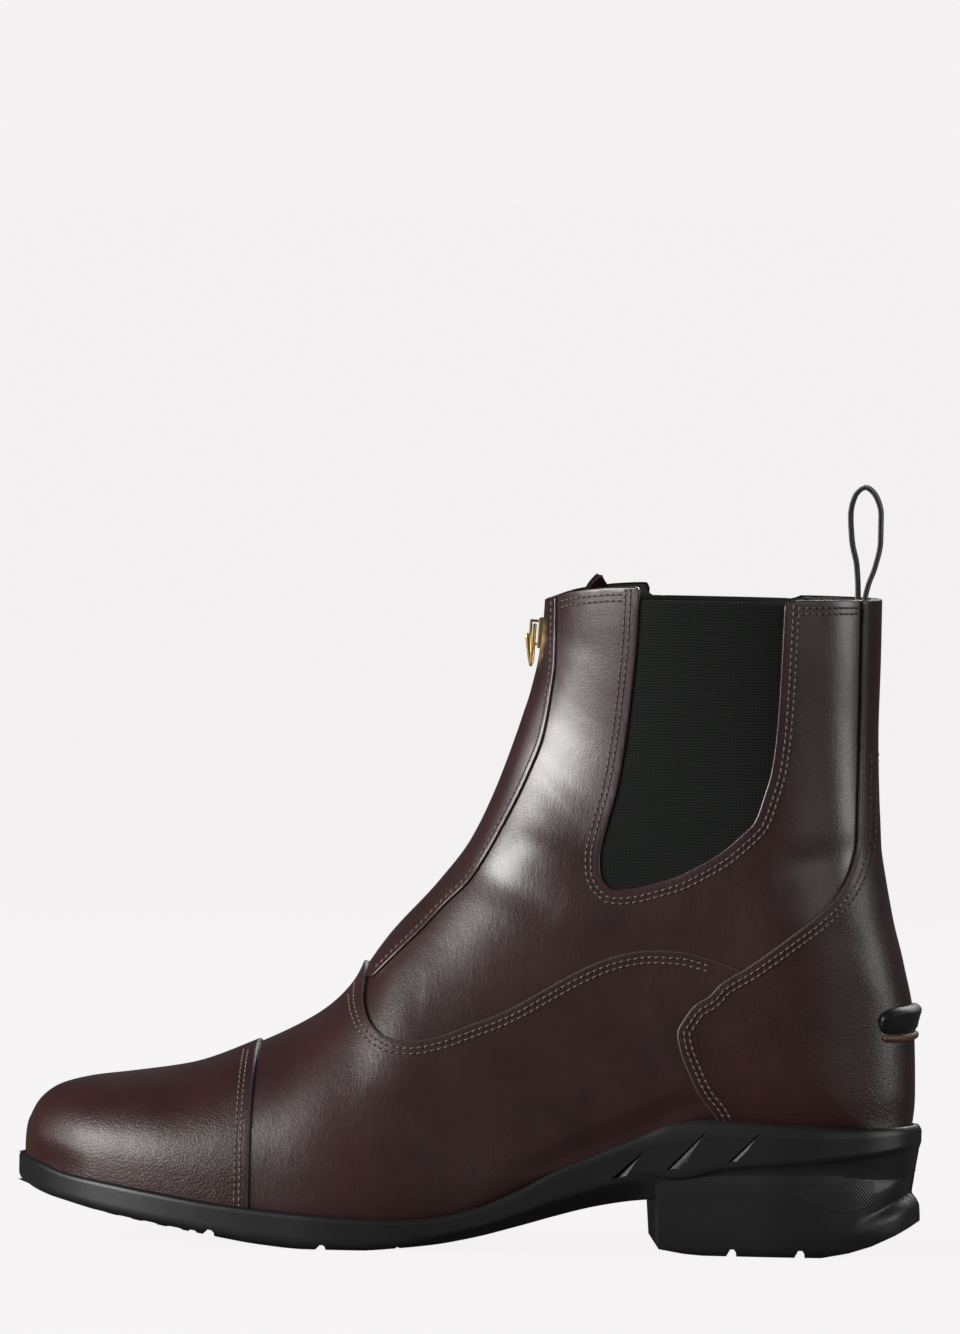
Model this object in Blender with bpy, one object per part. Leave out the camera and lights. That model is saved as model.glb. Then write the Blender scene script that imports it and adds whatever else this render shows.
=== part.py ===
"""A left paddock boot with a front zip, elastic gores and a moulded rubber sole.

The toe points to -X, the outer side of the boot faces -Y and the sole stands on z = 0.
All sizes are in metres.
"""

import math

import bmesh
import bpy
import numpy as np
from mathutils import Matrix, Vector

# Driving sizes of the boot
SOLE_LENGTH = 0.2805
BALL_WIDTH = 0.096
BOOT_HEIGHT = 0.2025
HEEL_HEIGHT = 0.042

# Leather, gaps and layers
WALL = 0.0016
GAP = 0.0003
VAMP_LEATHER = 0.0014
CAP_LEATHER = 0.0019
COUNTER_LEATHER = 0.0019
FACING_LEATHER = 0.0010
FACING_CLEARANCE = 0.0014
GORE_CLOTH = 0.0011
GORE_LAP = 0.005

# Sole unit
LIP_HEIGHT = 0.0042
STEP_DEPTH = 0.0032
INSOLE_THICKNESS = 0.0025
SLOT_DEPTH = 0.0016
SLOT_WIDTH = 0.0036
LUG_DEPTH = 0.0018
LUG_WIDTH = 0.0038
LUG_TAPER = 0.6
BREAST_SKEW = 0.0045
BREAST_LEAN = 0.006

# Zip
ZIP_OPENING = 0.0090
ZIP_SET_BACK = 0.004
ZIP_FOOT_RISE = 0.004
ZIP_TAPE_WIDTH = 0.024
ZIP_TAPE = 0.0009
ZIP_TEETH_WIDTH = 0.0056
ZIP_TEETH_RISE = 0.0014
GUARD_LEATHER = 0.0016
GUARD_WIDTH = 0.028
GUARD_BOW = 0.0075
SLIDER_WIDTH = 0.0080
SLIDER_LENGTH = 0.0095
SLIDER_DEPTH = 0.0016
BRIDGE_WIDTH = 0.0024
BRIDGE_LENGTH = 0.0080
BRIDGE_DEPTH = 0.0029
BRIDGE_BAR = 0.0008
PIN_RADIUS = 0.0005
PIN_DROP = 0.0022
PIN_PLAY = 0.0004
PULL_WIDTH = 0.0058
PULL_LENGTH = 0.0125
PULL_THICKNESS = 0.0010
PULL_TAIL = 0.0035

# Loop and spur rest
LOOP_WEBBING = 0.0015
LOOP_WIDTH = 0.015
REST_DEPTH = 0.0026

# How finely the curved forms are divided
RINGS = 27
RING_POINTS = 28
OUTLINE_POINTS = 36
HEEL_POINTS = 18
FLOOR_POINTS = 34
STRIP_POINTS = 3
GUARD_ROWS = 11
LOOP_ROWS = 24
SHARP_EDGE = math.radians(32)
MERGE_DISTANCE = 0.00002
FRONT_POINTS = 400
SMALL_BEVEL = 0.0003

# Further out than any point of the boot
FAR = 0.3

# Sections of the last, fanned from the toe over the instep to the collar. Each section lies in
# the plane through its dorsal point (on the top and front line) and its ventral point (under
# the foot and up the back line). Along is a share of SOLE_LENGTH from the toe, height a share
# of BOOT_HEIGHT, half width and centre (towards the inner side) shares of BALL_WIDTH. Widest
# is where along the chord the section is widest; the powers set how square each end is.
LAST = [
    # dorsal along, height, ventral along, height, half width, centre, widest, dorsal, ventral
    (0.0190, 0.172, 0.0195, 0.088, 0.130, 0.062, 0.60, 2.2, 2.6),
    (0.0285, 0.197, 0.0300, 0.066, 0.212, 0.054, 0.60, 2.3, 2.8),
    (0.0460, 0.217, 0.0480, 0.052, 0.268, 0.048, 0.60, 2.4, 3.0),
    (0.0800, 0.231, 0.0820, 0.041, 0.333, 0.036, 0.62, 2.5, 3.2),
    (0.1300, 0.241, 0.1360, 0.025, 0.384, 0.022, 0.62, 2.5, 3.4),
    (0.1930, 0.256, 0.2000, 0.008, 0.421, 0.008, 0.64, 2.4, 3.6),
    (0.2580, 0.290, 0.2650, -0.008, 0.441, -0.005, 0.66, 2.3, 3.8),
    (0.3220, 0.337, 0.3350, -0.018, 0.449, -0.020, 0.68, 2.2, 3.8),
    (0.3720, 0.401, 0.4150, -0.020, 0.434, -0.032, 0.70, 2.1, 3.8),
    (0.4155, 0.479, 0.4980, -0.008, 0.394, -0.042, 0.70, 2.2, 3.6),
    (0.4620, 0.551, 0.5900, 0.045, 0.352, -0.038, 0.66, 2.3, 3.4),
    (0.4980, 0.619, 0.6900, 0.085, 0.331, -0.026, 0.60, 2.45, 3.3),
    (0.5190, 0.680, 0.7950, 0.120, 0.322, -0.014, 0.58, 2.6, 3.2),
    (0.5330, 0.731, 0.8950, 0.132, 0.318, -0.006, 0.58, 2.65, 3.2),
    (0.5415, 0.766, 0.9700, 0.150, 0.316, -0.003, 0.58, 2.65, 2.9),
    (0.5480, 0.794, 0.9850, 0.240, 0.314, 0.0, 0.58, 2.6, 2.45),
    (0.5535, 0.819, 0.9820, 0.355, 0.312, 0.0, 0.57, 2.55, 2.35),
    (0.5585, 0.841, 0.9700, 0.440, 0.310, 0.0, 0.56, 2.5, 2.3),
    (0.5630, 0.866, 0.9560, 0.515, 0.312, 0.0, 0.55, 2.45, 2.3),
    (0.5670, 0.891, 0.9450, 0.600, 0.318, 0.0, 0.54, 2.4, 2.3),
    (0.5700, 0.920, 0.9385, 0.700, 0.330, 0.0, 0.53, 2.3, 2.3),
    (0.5725, 0.955, 0.9360, 0.810, 0.345, 0.0, 0.52, 2.2, 2.3),
    (0.5740, 0.995, 0.9370, 0.920, 0.357, 0.0, 0.52, 2.2, 2.3),
    (0.5750, 1.045, 0.9370, 1.045, 0.365, 0.0, 0.52, 2.2, 2.3),
]
TOE_POLE = (0.0172, 0.133, 0.062)  # along, height and centre of the last's foremost point

# Outline of the sole from above: along as a share of SOLE_LENGTH, and the outer and inner
# half widths as shares of BALL_WIDTH.
OUTLINE = [
    (0.0000, -0.062, 0.062),
    (0.0050, 0.035, 0.170),
    (0.0190, 0.145, 0.270),
    (0.0450, 0.250, 0.352),
    (0.0900, 0.354, 0.422),
    (0.1500, 0.427, 0.464),
    (0.2200, 0.474, 0.480),
    (0.2900, 0.500, 0.484),
    (0.3500, 0.514, 0.474),
    (0.4100, 0.508, 0.442),
    (0.4700, 0.482, 0.396),
    (0.5300, 0.442, 0.350),
    (0.5900, 0.401, 0.320),
    (0.6500, 0.370, 0.308),
    (0.7100, 0.354, 0.312),
    (0.7700, 0.352, 0.326),
    (0.8300, 0.352, 0.338),
    (0.8850, 0.338, 0.332),
    (0.9300, 0.298, 0.297),
    (0.9650, 0.226, 0.226),
    (0.9880, 0.135, 0.135),
    (1.0000, 0.0, 0.0),
]

# Side of the sole: along as a share of SOLE_LENGTH, then the top of the lip and the tread as
# shares of HEEL_HEIGHT. Behind the breast the heel block takes over from the tread.
SIDE = [
    (0.000, 0.605, 0.400),
    (0.030, 0.550, 0.325),
    (0.060, 0.492, 0.280),
    (0.100, 0.450, 0.222),
    (0.160, 0.388, 0.150),
    (0.220, 0.328, 0.085),
    (0.280, 0.287, 0.025),
    (0.330, 0.260, 0.000),
    (0.390, 0.236, 0.000),
    (0.430, 0.230, 0.020),
    (0.475, 0.256, 0.052),
    (0.520, 0.330, 0.107),
    (0.563, 0.457, 0.183),
    (0.607, 0.620, 0.270),
    (0.650, 0.745, 0.345),
    (0.695, 0.875, 0.395),
    (0.730, 0.975, 0.415),
    (0.765, 1.000, 0.420),
    (0.860, 0.973, 0.420),
    (0.930, 0.957, 0.420),
    (1.000, 0.965, 0.420),
]

# Steps of the sole's side: height as a share of the side from tread to lip, and the inset of
# the forepart, the shank, the heel seat's sides and its back as shares of STEP_DEPTH.
SIDE_STEPS = [
    # height, forepart, shank, seat sides, seat back
    (0.00, 0.50, 1.50, 0.45, 1.25),
    (0.10, 0.14, 1.10, 0.36, 0.80),
    (0.36, 0.00, 0.12, 0.24, 0.45),
    (0.50, 0.00, 0.00, 0.05, 0.06),
    (0.72, 0.00, 0.00, 0.00, 0.00),
    (0.90, 0.08, 0.08, 0.15, 0.15),
    (1.00, 0.36, 0.36, 0.42, 0.42),
]
# Steps of the heel block: height as a share of HEEL_HEIGHT, then the inset of its sides and of
# its back as shares of STEP_DEPTH.
HEEL_STEPS = [
    (0.00, 0.62, 0.90),
    (0.10, 0.36, 0.40),
    (0.27, 0.27, 0.00),
    (0.36, 0.27, 0.16),
    (0.47, 0.34, 0.80),
    (0.58, 0.62, 1.70),
]
# Underside of the heel from the breast to the bevelled back: along, height shares.
HEEL_TREAD = [
    (0.650, 0.116),
    (0.745, 0.010),
    (0.765, 0.000),
    (0.895, 0.000),
    (0.925, 0.036),
    (0.950, 0.086),
    (0.975, 0.160),
    (1.030, 0.360),
]
BREAST_ALONG = 0.733  # the heel's breast on the middle line
HEEL_START = 0.05  # how far in front of the breast the heel block is begun before it is cut
# Where the shank's chamfer rises and ends, and where the seat and the waist of its back begin
SHANK_BLEND = (0.43, 0.55, 0.69, 0.73)
SEAT_BLEND = (0.66, 0.76)
BACK_BLEND = (0.90, 0.98)

# Seams seen from the side: along as a share of SOLE_LENGTH, height as a share of BOOT_HEIGHT.
CAP_SEAM_ALONG = 0.266
VAMP_EDGE = [
    (0.366, 0.470),
    (0.386, 0.446),
    (0.384, 0.384),
    (0.390, 0.354),
    (0.403, 0.333),
    (0.419, 0.322),
    (0.440, 0.319),
    (0.467, 0.326),
    (0.504, 0.345),
    (0.544, 0.368),
    (0.583, 0.399),
    (0.615, 0.425),
    (0.648, 0.447),
    (0.676, 0.459),
    (0.702, 0.464),
    (0.733, 0.463),
    (0.763, 0.454),
    (0.800, 0.437),
]
COUNTER_EDGE = [
    (0.928, 1.100),
    (0.928, 0.763),
    (0.928, 0.637),
    (0.921, 0.590),
    (0.909, 0.557),
    (0.883, 0.520),
    (0.850, 0.484),
    (0.810, 0.443),
    (0.777, 0.413),
    (0.768, 0.398),
    (0.750, 0.381),
    (0.742, 0.366),
    (0.732, 0.337),
    (0.735, 0.314),
    (0.745, 0.279),
    (0.759, 0.240),
    (0.777, 0.208),
    (0.800, 0.120),
]
FACING_SEAM = [
    (0.393, 0.411),
    (0.419, 0.448),
    (0.445, 0.484),
    (0.471, 0.524),
    (0.498, 0.562),
    (0.515, 0.600),
    (0.536, 0.655),
    (0.558, 0.720),
    (0.575, 0.785),
    (0.582, 0.845),
    (0.586, 0.900),
    (0.585, 1.060),
]
GORE_EDGE = [
    (0.679, 1.100),
    (0.675, 0.934),
    (0.670, 0.850),
    (0.664, 0.775),
    (0.655, 0.699),
    (0.645, 0.646),
    (0.639, 0.602),
    (0.640, 0.578),
    (0.647, 0.560),
    (0.660, 0.549),
    (0.679, 0.552),
    (0.704, 0.561),
    (0.727, 0.571),
    (0.750, 0.587),
    (0.775, 0.608),
    (0.798, 0.635),
    (0.815, 0.660),
    (0.824, 0.695),
    (0.833, 0.741),
    (0.838, 0.800),
    (0.841, 0.880),
    (0.846, 1.100),
]
COLLAR_LINE = [
    (0.520, 0.985),
    (0.576, 0.993),
    (0.598, 1.004),
    (0.621, 1.010),
    (0.646, 1.014),
    (0.676, 1.016),
    (0.683, 1.000),
    (0.760, 0.997),
    (0.843, 0.996),
    (0.850, 1.001),
    (0.980, 1.002),
]
GORE_TOP = 0.996

# Three tapered slots in each side of the heel seat: foot and head, along and height shares of
# SOLE_LENGTH and HEEL_HEIGHT.
SLOTS = [
    # foot along, foot height, head along, head height
    (0.665, 0.555, 0.697, 0.765),
    (0.724, 0.640, 0.764, 0.915),
    (0.791, 0.690, 0.825, 0.915),
]
# Grooves between the lugs: along shares, as they show in the tread's edge.
FOREPART_GROOVES = (0.224, 0.348)
HEEL_GROOVES = (0.797, 0.872)

# Guard behind the zip, from its foot to its pointed top: along, height and width shares, and
# how far it is turned about its own middle, in degrees.
GUARD = [
    # along, height, width, turn
    (0.5440, 0.700, 0.80, 0),
    (0.5610, 0.770, 1.00, 0),
    (0.5775, 0.850, 1.00, 0),
    (0.5865, 0.910, 0.95, 0),
    (0.5980, 0.955, 0.80, 6),
    (0.6080, 0.990, 0.60, 16),
    (0.6180, 1.008, 0.46, 26),
    (0.6300, 1.030, 0.04, 30),
]
# Middle line of the pull loop in side view, from the inner end to the outer end.
LOOP = [
    (0.9170, 0.930),
    (0.9170, 0.985),
    (0.9168, 1.010),
    (0.9150, 1.050),
    (0.9090, 1.090),
    (0.9070, 1.130),
    (0.9120, 1.160),
    (0.9230, 1.172),
    (0.9340, 1.160),
    (0.9405, 1.130),
    (0.9405, 1.090),
    (0.9350, 1.050),
    (0.9275, 1.020),
    (0.9238, 0.990),
    (0.9238, 0.930),
]
SPUR_REST = [
    # along, lower height, upper height
    (0.945, 0.338, 0.372),
    (0.965, 0.340, 0.383),
    (1.100, 0.352, 0.383),
]
SLIDER_HEIGHT = 0.950  # height of the pull's pin in the slider, a share of BOOT_HEIGHT


def along_x(share):
    """Place on the X axis of a share of the sole's length, measured from the toe."""
    return (share - 0.5) * SOLE_LENGTH


def column(table, index):
    return np.array([row[index] for row in table])


def smooth(xs, ys, at):
    """Values at the places `at` of a smooth curve through the points that never overshoots."""
    xs, ys, at = np.asarray(xs, float), np.asarray(ys, float), np.asarray(at, float)
    step = np.diff(xs)
    slope = np.diff(ys) / step
    tangent = np.zeros(len(xs))
    tangent[0], tangent[-1] = slope[0], slope[-1]
    for i in range(1, len(xs) - 1):
        if slope[i - 1] * slope[i] > 0:
            before, after = 2 * step[i] + step[i - 1], step[i] + 2 * step[i - 1]
            tangent[i] = (before + after) / (before / slope[i - 1] + after / slope[i])
    i = np.clip(np.searchsorted(xs, at) - 1, 0, len(step) - 1)
    t = np.clip((at - xs[i]) / step[i], 0.0, 1.0)
    start = (1 + 2 * t) * (1 - t) ** 2 * ys[i] + t * (1 - t) ** 2 * step[i] * tangent[i]
    return start + t * t * (3 - 2 * t) * ys[i + 1] - t * t * (1 - t) * step[i] * tangent[i + 1]


def side_points(table):
    """The points of a seam table as (x, z)."""
    return [(along_x(row[0]), row[1] * BOOT_HEIGHT) for row in table]


def make_object(name, bm, material=None):
    mesh = bpy.data.meshes.new(name)
    bmesh.ops.recalc_face_normals(bm, faces=bm.faces)
    bm.to_mesh(mesh)
    bm.free()
    body = bpy.data.objects.new(name, mesh)
    bpy.context.collection.objects.link(body)
    if material:
        mesh.materials.append(material)
        mesh.shade_smooth()
        mesh.set_sharp_from_angle(angle=SHARP_EDGE)
    return body


def combine(body, other, operation):
    """Apply a Boolean of `other` to `body` and remove `other`."""
    modifier = body.modifiers.new(operation.lower(), "BOOLEAN")
    modifier.operation = operation
    modifier.solver = "EXACT"
    modifier.object = other
    depsgraph = bpy.context.evaluated_depsgraph_get()
    result = bpy.data.meshes.new_from_object(body.evaluated_get(depsgraph))
    body.modifiers.clear()
    body.data = result
    bpy.data.objects.remove(other)
    return body


def finish(body, name, material):
    """Name a cut body, clean its mesh and give it its material."""
    bm = bmesh.new()
    bm.from_mesh(body.data)
    bmesh.ops.remove_doubles(bm, verts=bm.verts, dist=MERGE_DISTANCE)
    bmesh.ops.dissolve_degenerate(bm, edges=bm.edges, dist=MERGE_DISTANCE)
    bmesh.ops.triangulate(bm, faces=bm.faces)
    bm.to_mesh(body.data)
    bm.free()
    body.name = name
    body.data.name = name
    body.data.materials.clear()
    body.data.materials.append(material)
    body.data.shade_smooth()
    body.data.set_sharp_from_angle(angle=SHARP_EDGE)
    return body


def material(name, colour, roughness, metallic=0.0):
    finish_of = bpy.data.materials.new(name)
    finish_of.use_nodes = True
    shader = finish_of.node_tree.nodes["Principled BSDF"]
    shader.inputs["Base Color"].default_value = (*colour, 1.0)
    shader.inputs["Roughness"].default_value = roughness
    shader.inputs["Metallic"].default_value = metallic
    finish_of.diffuse_color = (*colour, 1.0)
    return finish_of


def section_points():
    """Points of the last as an array: ring, point round the ring, coordinate."""
    rows = np.arange(len(LAST), dtype=float)
    at = np.linspace(0, len(LAST) - 1, RINGS)
    value = [smooth(rows, column(LAST, i), at) for i in range(9)]
    points = np.zeros((RINGS, RING_POINTS, 3))
    for ring in range(RINGS):
        dorsal = np.array([along_x(value[0][ring]), 0.0, value[1][ring] * BOOT_HEIGHT])
        ventral = np.array([along_x(value[2][ring]), 0.0, value[3][ring] * BOOT_HEIGHT])
        half, centre = value[4][ring] * BALL_WIDTH, value[5][ring] * BALL_WIDTH
        widest, front, back = value[6][ring], value[7][ring], value[8][ring]
        for i in range(RING_POINTS):
            turn = 2 * math.pi * i / RING_POINTS
            down, across = math.cos(turn), math.sin(turn)
            power = front if down > 0 else back
            share = abs(down) ** (2 / power)
            chord = widest * (1 - share) if down > 0 else widest + (1 - widest) * share
            reach = math.copysign(abs(across) ** (2 / power), across)
            points[ring, i] = dorsal + (ventral - dorsal) * chord
            points[ring, i, 1] = centre - half * reach
    return points


def section_normals(points):
    """Outward direction at each point of the last."""
    round_ring = np.roll(points, -1, axis=1) - np.roll(points, 1, axis=1)
    pole = np.array([along_x(TOE_POLE[0]), TOE_POLE[2] * BALL_WIDTH, TOE_POLE[1] * BOOT_HEIGHT])
    before = np.vstack([np.broadcast_to(pole, points[:1].shape), points[:-1]])
    after = np.vstack([points[1:], points[-1:]])
    normals = np.cross(after - before, round_ring)
    normals /= np.linalg.norm(normals, axis=2, keepdims=True)
    middle = points.mean(axis=1, keepdims=True)
    if np.sum(normals * (points - middle)) < 0:
        normals = -normals
    normals[-1, :, 2] = 0.0
    return normals, pole


def last_form(offset):
    """The closed form of the last, grown by `offset`."""
    points = section_points()
    normals, pole = section_normals(points)
    grown = points + normals * offset
    bm = bmesh.new()
    rings = [[bm.verts.new(point) for point in ring] for ring in grown]
    tip = bm.verts.new(pole + np.array([-offset, 0.0, 0.0]))
    for i in range(RING_POINTS):
        after = (i + 1) % RING_POINTS
        bm.faces.new((tip, rings[0][i], rings[0][after]))
        for front, back in zip(rings, rings[1:]):
            bm.faces.new((front[i], back[i], back[after], front[after]))
    bm.faces.new(rings[-1])
    bmesh.ops.triangulate(bm, faces=[face for face in bm.faces if len(face.verts) > 4])
    return make_object("last", bm)


def layer(inside, outside):
    """A shell of the last between two offsets from its surface."""
    return combine(last_form(outside), last_form(inside), "DIFFERENCE")


def prism(points, low=-FAR, high=FAR):
    """A closed prism along Y whose side view is the outline of (x, z) points."""
    bm = bmesh.new()
    verts = [bm.verts.new((x, low, z)) for x, z in points]
    face = bm.faces.new(verts)
    extruded = bmesh.ops.extrude_face_region(bm, geom=[face])["geom"]
    moved = [item for item in extruded if isinstance(item, bmesh.types.BMVert)]
    bmesh.ops.translate(bm, verts=moved, vec=(0, high - low, 0))
    return make_object("prism", bm)


def box(low, high):
    """A closed box between two corners."""
    bm = bmesh.new()
    bmesh.ops.create_cube(bm, size=1.0)
    low, high = Vector(low), Vector(high)
    bmesh.ops.scale(bm, vec=high - low, verts=bm.verts)
    bmesh.ops.translate(bm, vec=(low + high) / 2, verts=bm.verts)
    return make_object("box", bm)


def floor_line(lift=0.0):
    """The foot bed of the sole in side view, raised by `lift`, past both of its ends."""
    shares = np.linspace(-0.02, 1.03, FLOOR_POINTS)
    lip = smooth(column(SIDE, 0), column(SIDE, 1), np.clip(shares, 0, 1)) * HEEL_HEIGHT
    return [(along_x(s), z - LIP_HEIGHT + lift) for s, z in zip(shares, lip)]


def above_floor(lift):
    """A prism of everything over the foot bed raised by `lift`."""
    line = floor_line(lift)
    return prism(line + [(line[-1][0], FAR), (line[0][0], FAR)])


def below_floor(lift):
    """A prism of everything under the foot bed raised by `lift`."""
    line = floor_line(lift)
    return prism(line + [(line[-1][0], -FAR), (line[0][0], -FAR)])


def below_collar():
    """A prism of everything under the collar's line."""
    line = side_points(COLLAR_LINE)
    ends = [(FAR, line[-1][1]), (FAR, -FAR), (-FAR, -FAR), (-FAR, line[0][1])]
    return prism(line + ends)


def gore_outline(lap=0.0):
    """The gore's opening in side view, grown by `lap` at its front, foot and back."""
    line = side_points(GORE_EDGE)
    grown = []
    for (x0, z0), (x, z), (x1, z1) in zip([line[0]] + line[:-1], line, line[1:] + [line[-1]]):
        run = math.hypot(x1 - x0, z1 - z0)
        grown.append((x + lap * (z1 - z0) / run, z - lap * (x1 - x0) / run))
    return grown


def build_upper(leather):
    """The hollow upper, open at the collar, the throat, the gores and underneath."""
    upper = layer(-WALL, 0.0)
    upper = combine(upper, above_floor(GAP), "INTERSECT")
    upper = combine(upper, below_collar(), "INTERSECT")
    upper = combine(upper, prism(gore_outline()), "DIFFERENCE")
    throat = side_points(FACING_SEAM)
    slit = throat + [(-FAR, throat[-1][1]), (-FAR, throat[0][1])]
    upper = combine(upper, prism(slit, -ZIP_OPENING / 2, ZIP_OPENING / 2), "DIFFERENCE")
    return finish(upper, "upper", leather)


def vamp_outline():
    """Side view of the vamp from the toe cap's seam to the counter, with its raised throat."""
    top = side_points(VAMP_EDGE)
    rear = [(x - GAP, z) for x, z in side_points(COUNTER_EDGE) if z < top[-1][1] - GAP]
    cap = along_x(CAP_SEAM_ALONG) + GAP
    return [(cap, -FAR), (cap, top[0][1])] + top[:-1] + rear + [(rear[-1][0], -FAR)]


def build_vamp(leather):
    vamp = layer(GAP, GAP + VAMP_LEATHER)
    vamp = combine(vamp, prism(vamp_outline()), "INTERSECT")
    vamp = combine(vamp, above_floor(GAP), "INTERSECT")
    return finish(vamp, "vamp", leather)


def build_toe_cap(leather):
    cap = layer(GAP, GAP + CAP_LEATHER)
    edge = along_x(CAP_SEAM_ALONG)
    cap = combine(cap, box((-FAR, -FAR, -FAR), (edge, FAR, FAR)), "INTERSECT")
    cap = combine(cap, above_floor(GAP), "INTERSECT")
    return finish(cap, "toe_cap", leather)


def build_counter(leather):
    """The counter and the back strip, cut in one piece."""
    counter = layer(GAP, GAP + COUNTER_LEATHER)
    counter = combine(counter, above_floor(GAP), "INTERSECT")
    counter = combine(counter, below_collar(), "INTERSECT")
    line = side_points(COUNTER_EDGE)
    outline = line + [(FAR, line[-1][1]), (FAR, line[0][1])]
    counter = combine(counter, prism(outline), "INTERSECT")
    return finish(counter, "counter", leather)


def build_facing(name, side, leather):
    """One leather strip beside the zip; side is -1 for the outer and 1 for the inner one."""
    facing = layer(GAP, GAP + FACING_LEATHER)
    foot = VAMP_EDGE[1][1] * BOOT_HEIGHT + FACING_CLEARANCE
    seam = [point for point in side_points(FACING_SEAM) if point[1] > foot]
    start = (side_points(VAMP_EDGE)[1][0] + FACING_CLEARANCE, foot)
    outline = [start] + seam + [(-FAR, seam[-1][1]), (-FAR, foot + FAR / 4)]
    low, high = sorted((side * ZIP_OPENING / 2, side * FAR))
    facing = combine(facing, prism(outline, low, high), "INTERSECT")
    facing = combine(facing, below_collar(), "INTERSECT")
    return finish(facing, name, leather)


def build_gore(name, side, cloth):
    """One elastic gore, just inside the wall and lapped past its opening."""
    gore = layer(-WALL - GAP - GORE_CLOTH, -WALL - GAP)
    low, high = sorted((0.0, side * FAR))
    outline = gore_outline(GORE_LAP)
    top = GORE_TOP * BOOT_HEIGHT
    outline = [(x, min(z, top)) for x, z in outline]
    gore = combine(gore, prism(outline, low, high), "INTERSECT")
    return finish(gore, name, cloth)


def zip_strip(outline, inside, outside, width):
    """A strip of the front wall between two offsets, centred on the zip."""
    piece = combine(layer(inside, outside), below_collar(), "INTERSECT")
    return combine(piece, prism(outline, -width / 2, width / 2), "INTERSECT")


def zip_outline(set_back, foot_rise):
    """Side view of a strip of the zip, reaching `set_back` behind the facing's seam."""
    seam = [(x + set_back, z) for x, z in side_points(FACING_SEAM)]
    seam[0] = (seam[0][0], seam[0][1] + foot_rise)
    return seam + [(-FAR, seam[-1][1]), (-FAR, seam[0][1])]


def build_zip(tape_cloth, brass):
    """The closed zip: its tape behind the throat and the row of teeth in the slit."""
    outline = zip_outline(ZIP_SET_BACK, ZIP_FOOT_RISE)
    tape = zip_strip(outline, -WALL - GAP - ZIP_TAPE, -WALL - GAP, ZIP_TAPE_WIDTH)
    finish(tape, "zip_tape", tape_cloth)
    outline = zip_outline(ZIP_SET_BACK / 2, ZIP_FOOT_RISE + 2 * GAP)
    teeth = zip_strip(outline, -WALL, -WALL + ZIP_TEETH_RISE, ZIP_TEETH_WIDTH)
    finish(teeth, "zip_teeth", brass)


def strip(name, line, thickness, finish_of, bow=0.0):
    """A strap along rows of (x, z, width, turn), bowed back by `bow` at a width of GUARD_WIDTH."""
    bm = bmesh.new()
    rows = []
    for i, (x, z, width, turn) in enumerate(line):
        before, after = line[max(i - 1, 0)], line[min(i + 1, len(line) - 1)]
        run = Vector((after[0] - before[0], after[1] - before[1])).normalized()
        across = Vector((run.y, 0.0, -run.x)) * thickness / 2
        ring = []
        for face in (-1, 1):
            for share in np.linspace(-1, 1, STRIP_POINTS)[::face]:
                reach = share * width / 2
                bent = bow * (2 * reach / GUARD_WIDTH) ** 2
                centre = Vector((x + bent + reach * math.sin(turn), reach * math.cos(turn), z))
                ring.append(bm.verts.new(centre + across * face))
        rows.append(ring)
    for lower, upper in zip(rows, rows[1:]):
        bmesh.ops.bridge_loops(bm, edges=ring_edges(bm, lower) + ring_edges(bm, upper))
    for ring in (rows[0], rows[-1]):
        bm.faces.new(ring)
    bmesh.ops.triangulate(bm, faces=bm.faces)
    return make_object(name, bm, finish_of)


def ring_edges(bm, ring):
    """The edges that close a ring of points, made where they don't exist."""
    edges = []
    for a, b in zip(ring, ring[1:] + ring[:1]):
        edges.append(bm.edges.get((a, b)) or bm.edges.new((a, b)))
    return edges


def smooth_line(points, count):
    """A line of `count` points, evenly spaced on a smooth curve through the points given."""
    points = np.array(points)
    run = np.concatenate([[0], np.cumsum(np.linalg.norm(np.diff(points, axis=0), axis=1))])
    at = np.linspace(0, run[-1], count)
    return list(zip(*(smooth(run, points[:, i], at) for i in range(points.shape[1]))))


def build_guard(leather):
    rows = [(along_x(a), h * BOOT_HEIGHT, w * GUARD_WIDTH, math.radians(t)) for a, h, w, t in GUARD]
    return strip("zip_guard", smooth_line(rows, GUARD_ROWS), GUARD_LEATHER, leather, GUARD_BOW)


def build_loop(webbing):
    rows = [(x, z, LOOP_WIDTH, 0.0) for x, z in side_points(LOOP)]
    return strip("pull_loop", smooth_line(rows, LOOP_ROWS), LOOP_WEBBING, webbing)


def half_widths(shares):
    """Outer and inner half widths of the sole at shares of its length."""
    along = column(OUTLINE, 0)
    return [smooth(along, column(OUTLINE, side), shares) * BALL_WIDTH for side in (1, 2)]


def outline_ring(shares):
    """The sole's outline from above, back along the inner side, without its end points twice."""
    outer, inner = half_widths(shares)
    xs = along_x(shares)
    return np.array(list(zip(xs, -outer)) + list(zip(xs, inner))[-2:0:-1])


def moved_in(points, inset):
    """Points of an outline from above, each moved inwards by its own inset."""
    ahead = np.roll(points, -1, axis=0) - np.roll(points, 1, axis=0)
    inward = np.stack([-ahead[:, 1], ahead[:, 0]], axis=1)
    return points + inward / np.linalg.norm(inward, axis=1, keepdims=True) * inset[:, None]


def stacked(levels):
    """A bmesh of rings of points, each joined to the one above, and its rings."""
    bm = bmesh.new()
    rings = [[bm.verts.new(point) for point in level] for level in levels]
    for lower, upper in zip(rings, rings[1:]):
        for i in range(len(lower)):
            after = (i + 1) % len(lower)
            bm.faces.new((lower[i], lower[after], upper[after], upper[i]))
    return bm, rings


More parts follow.
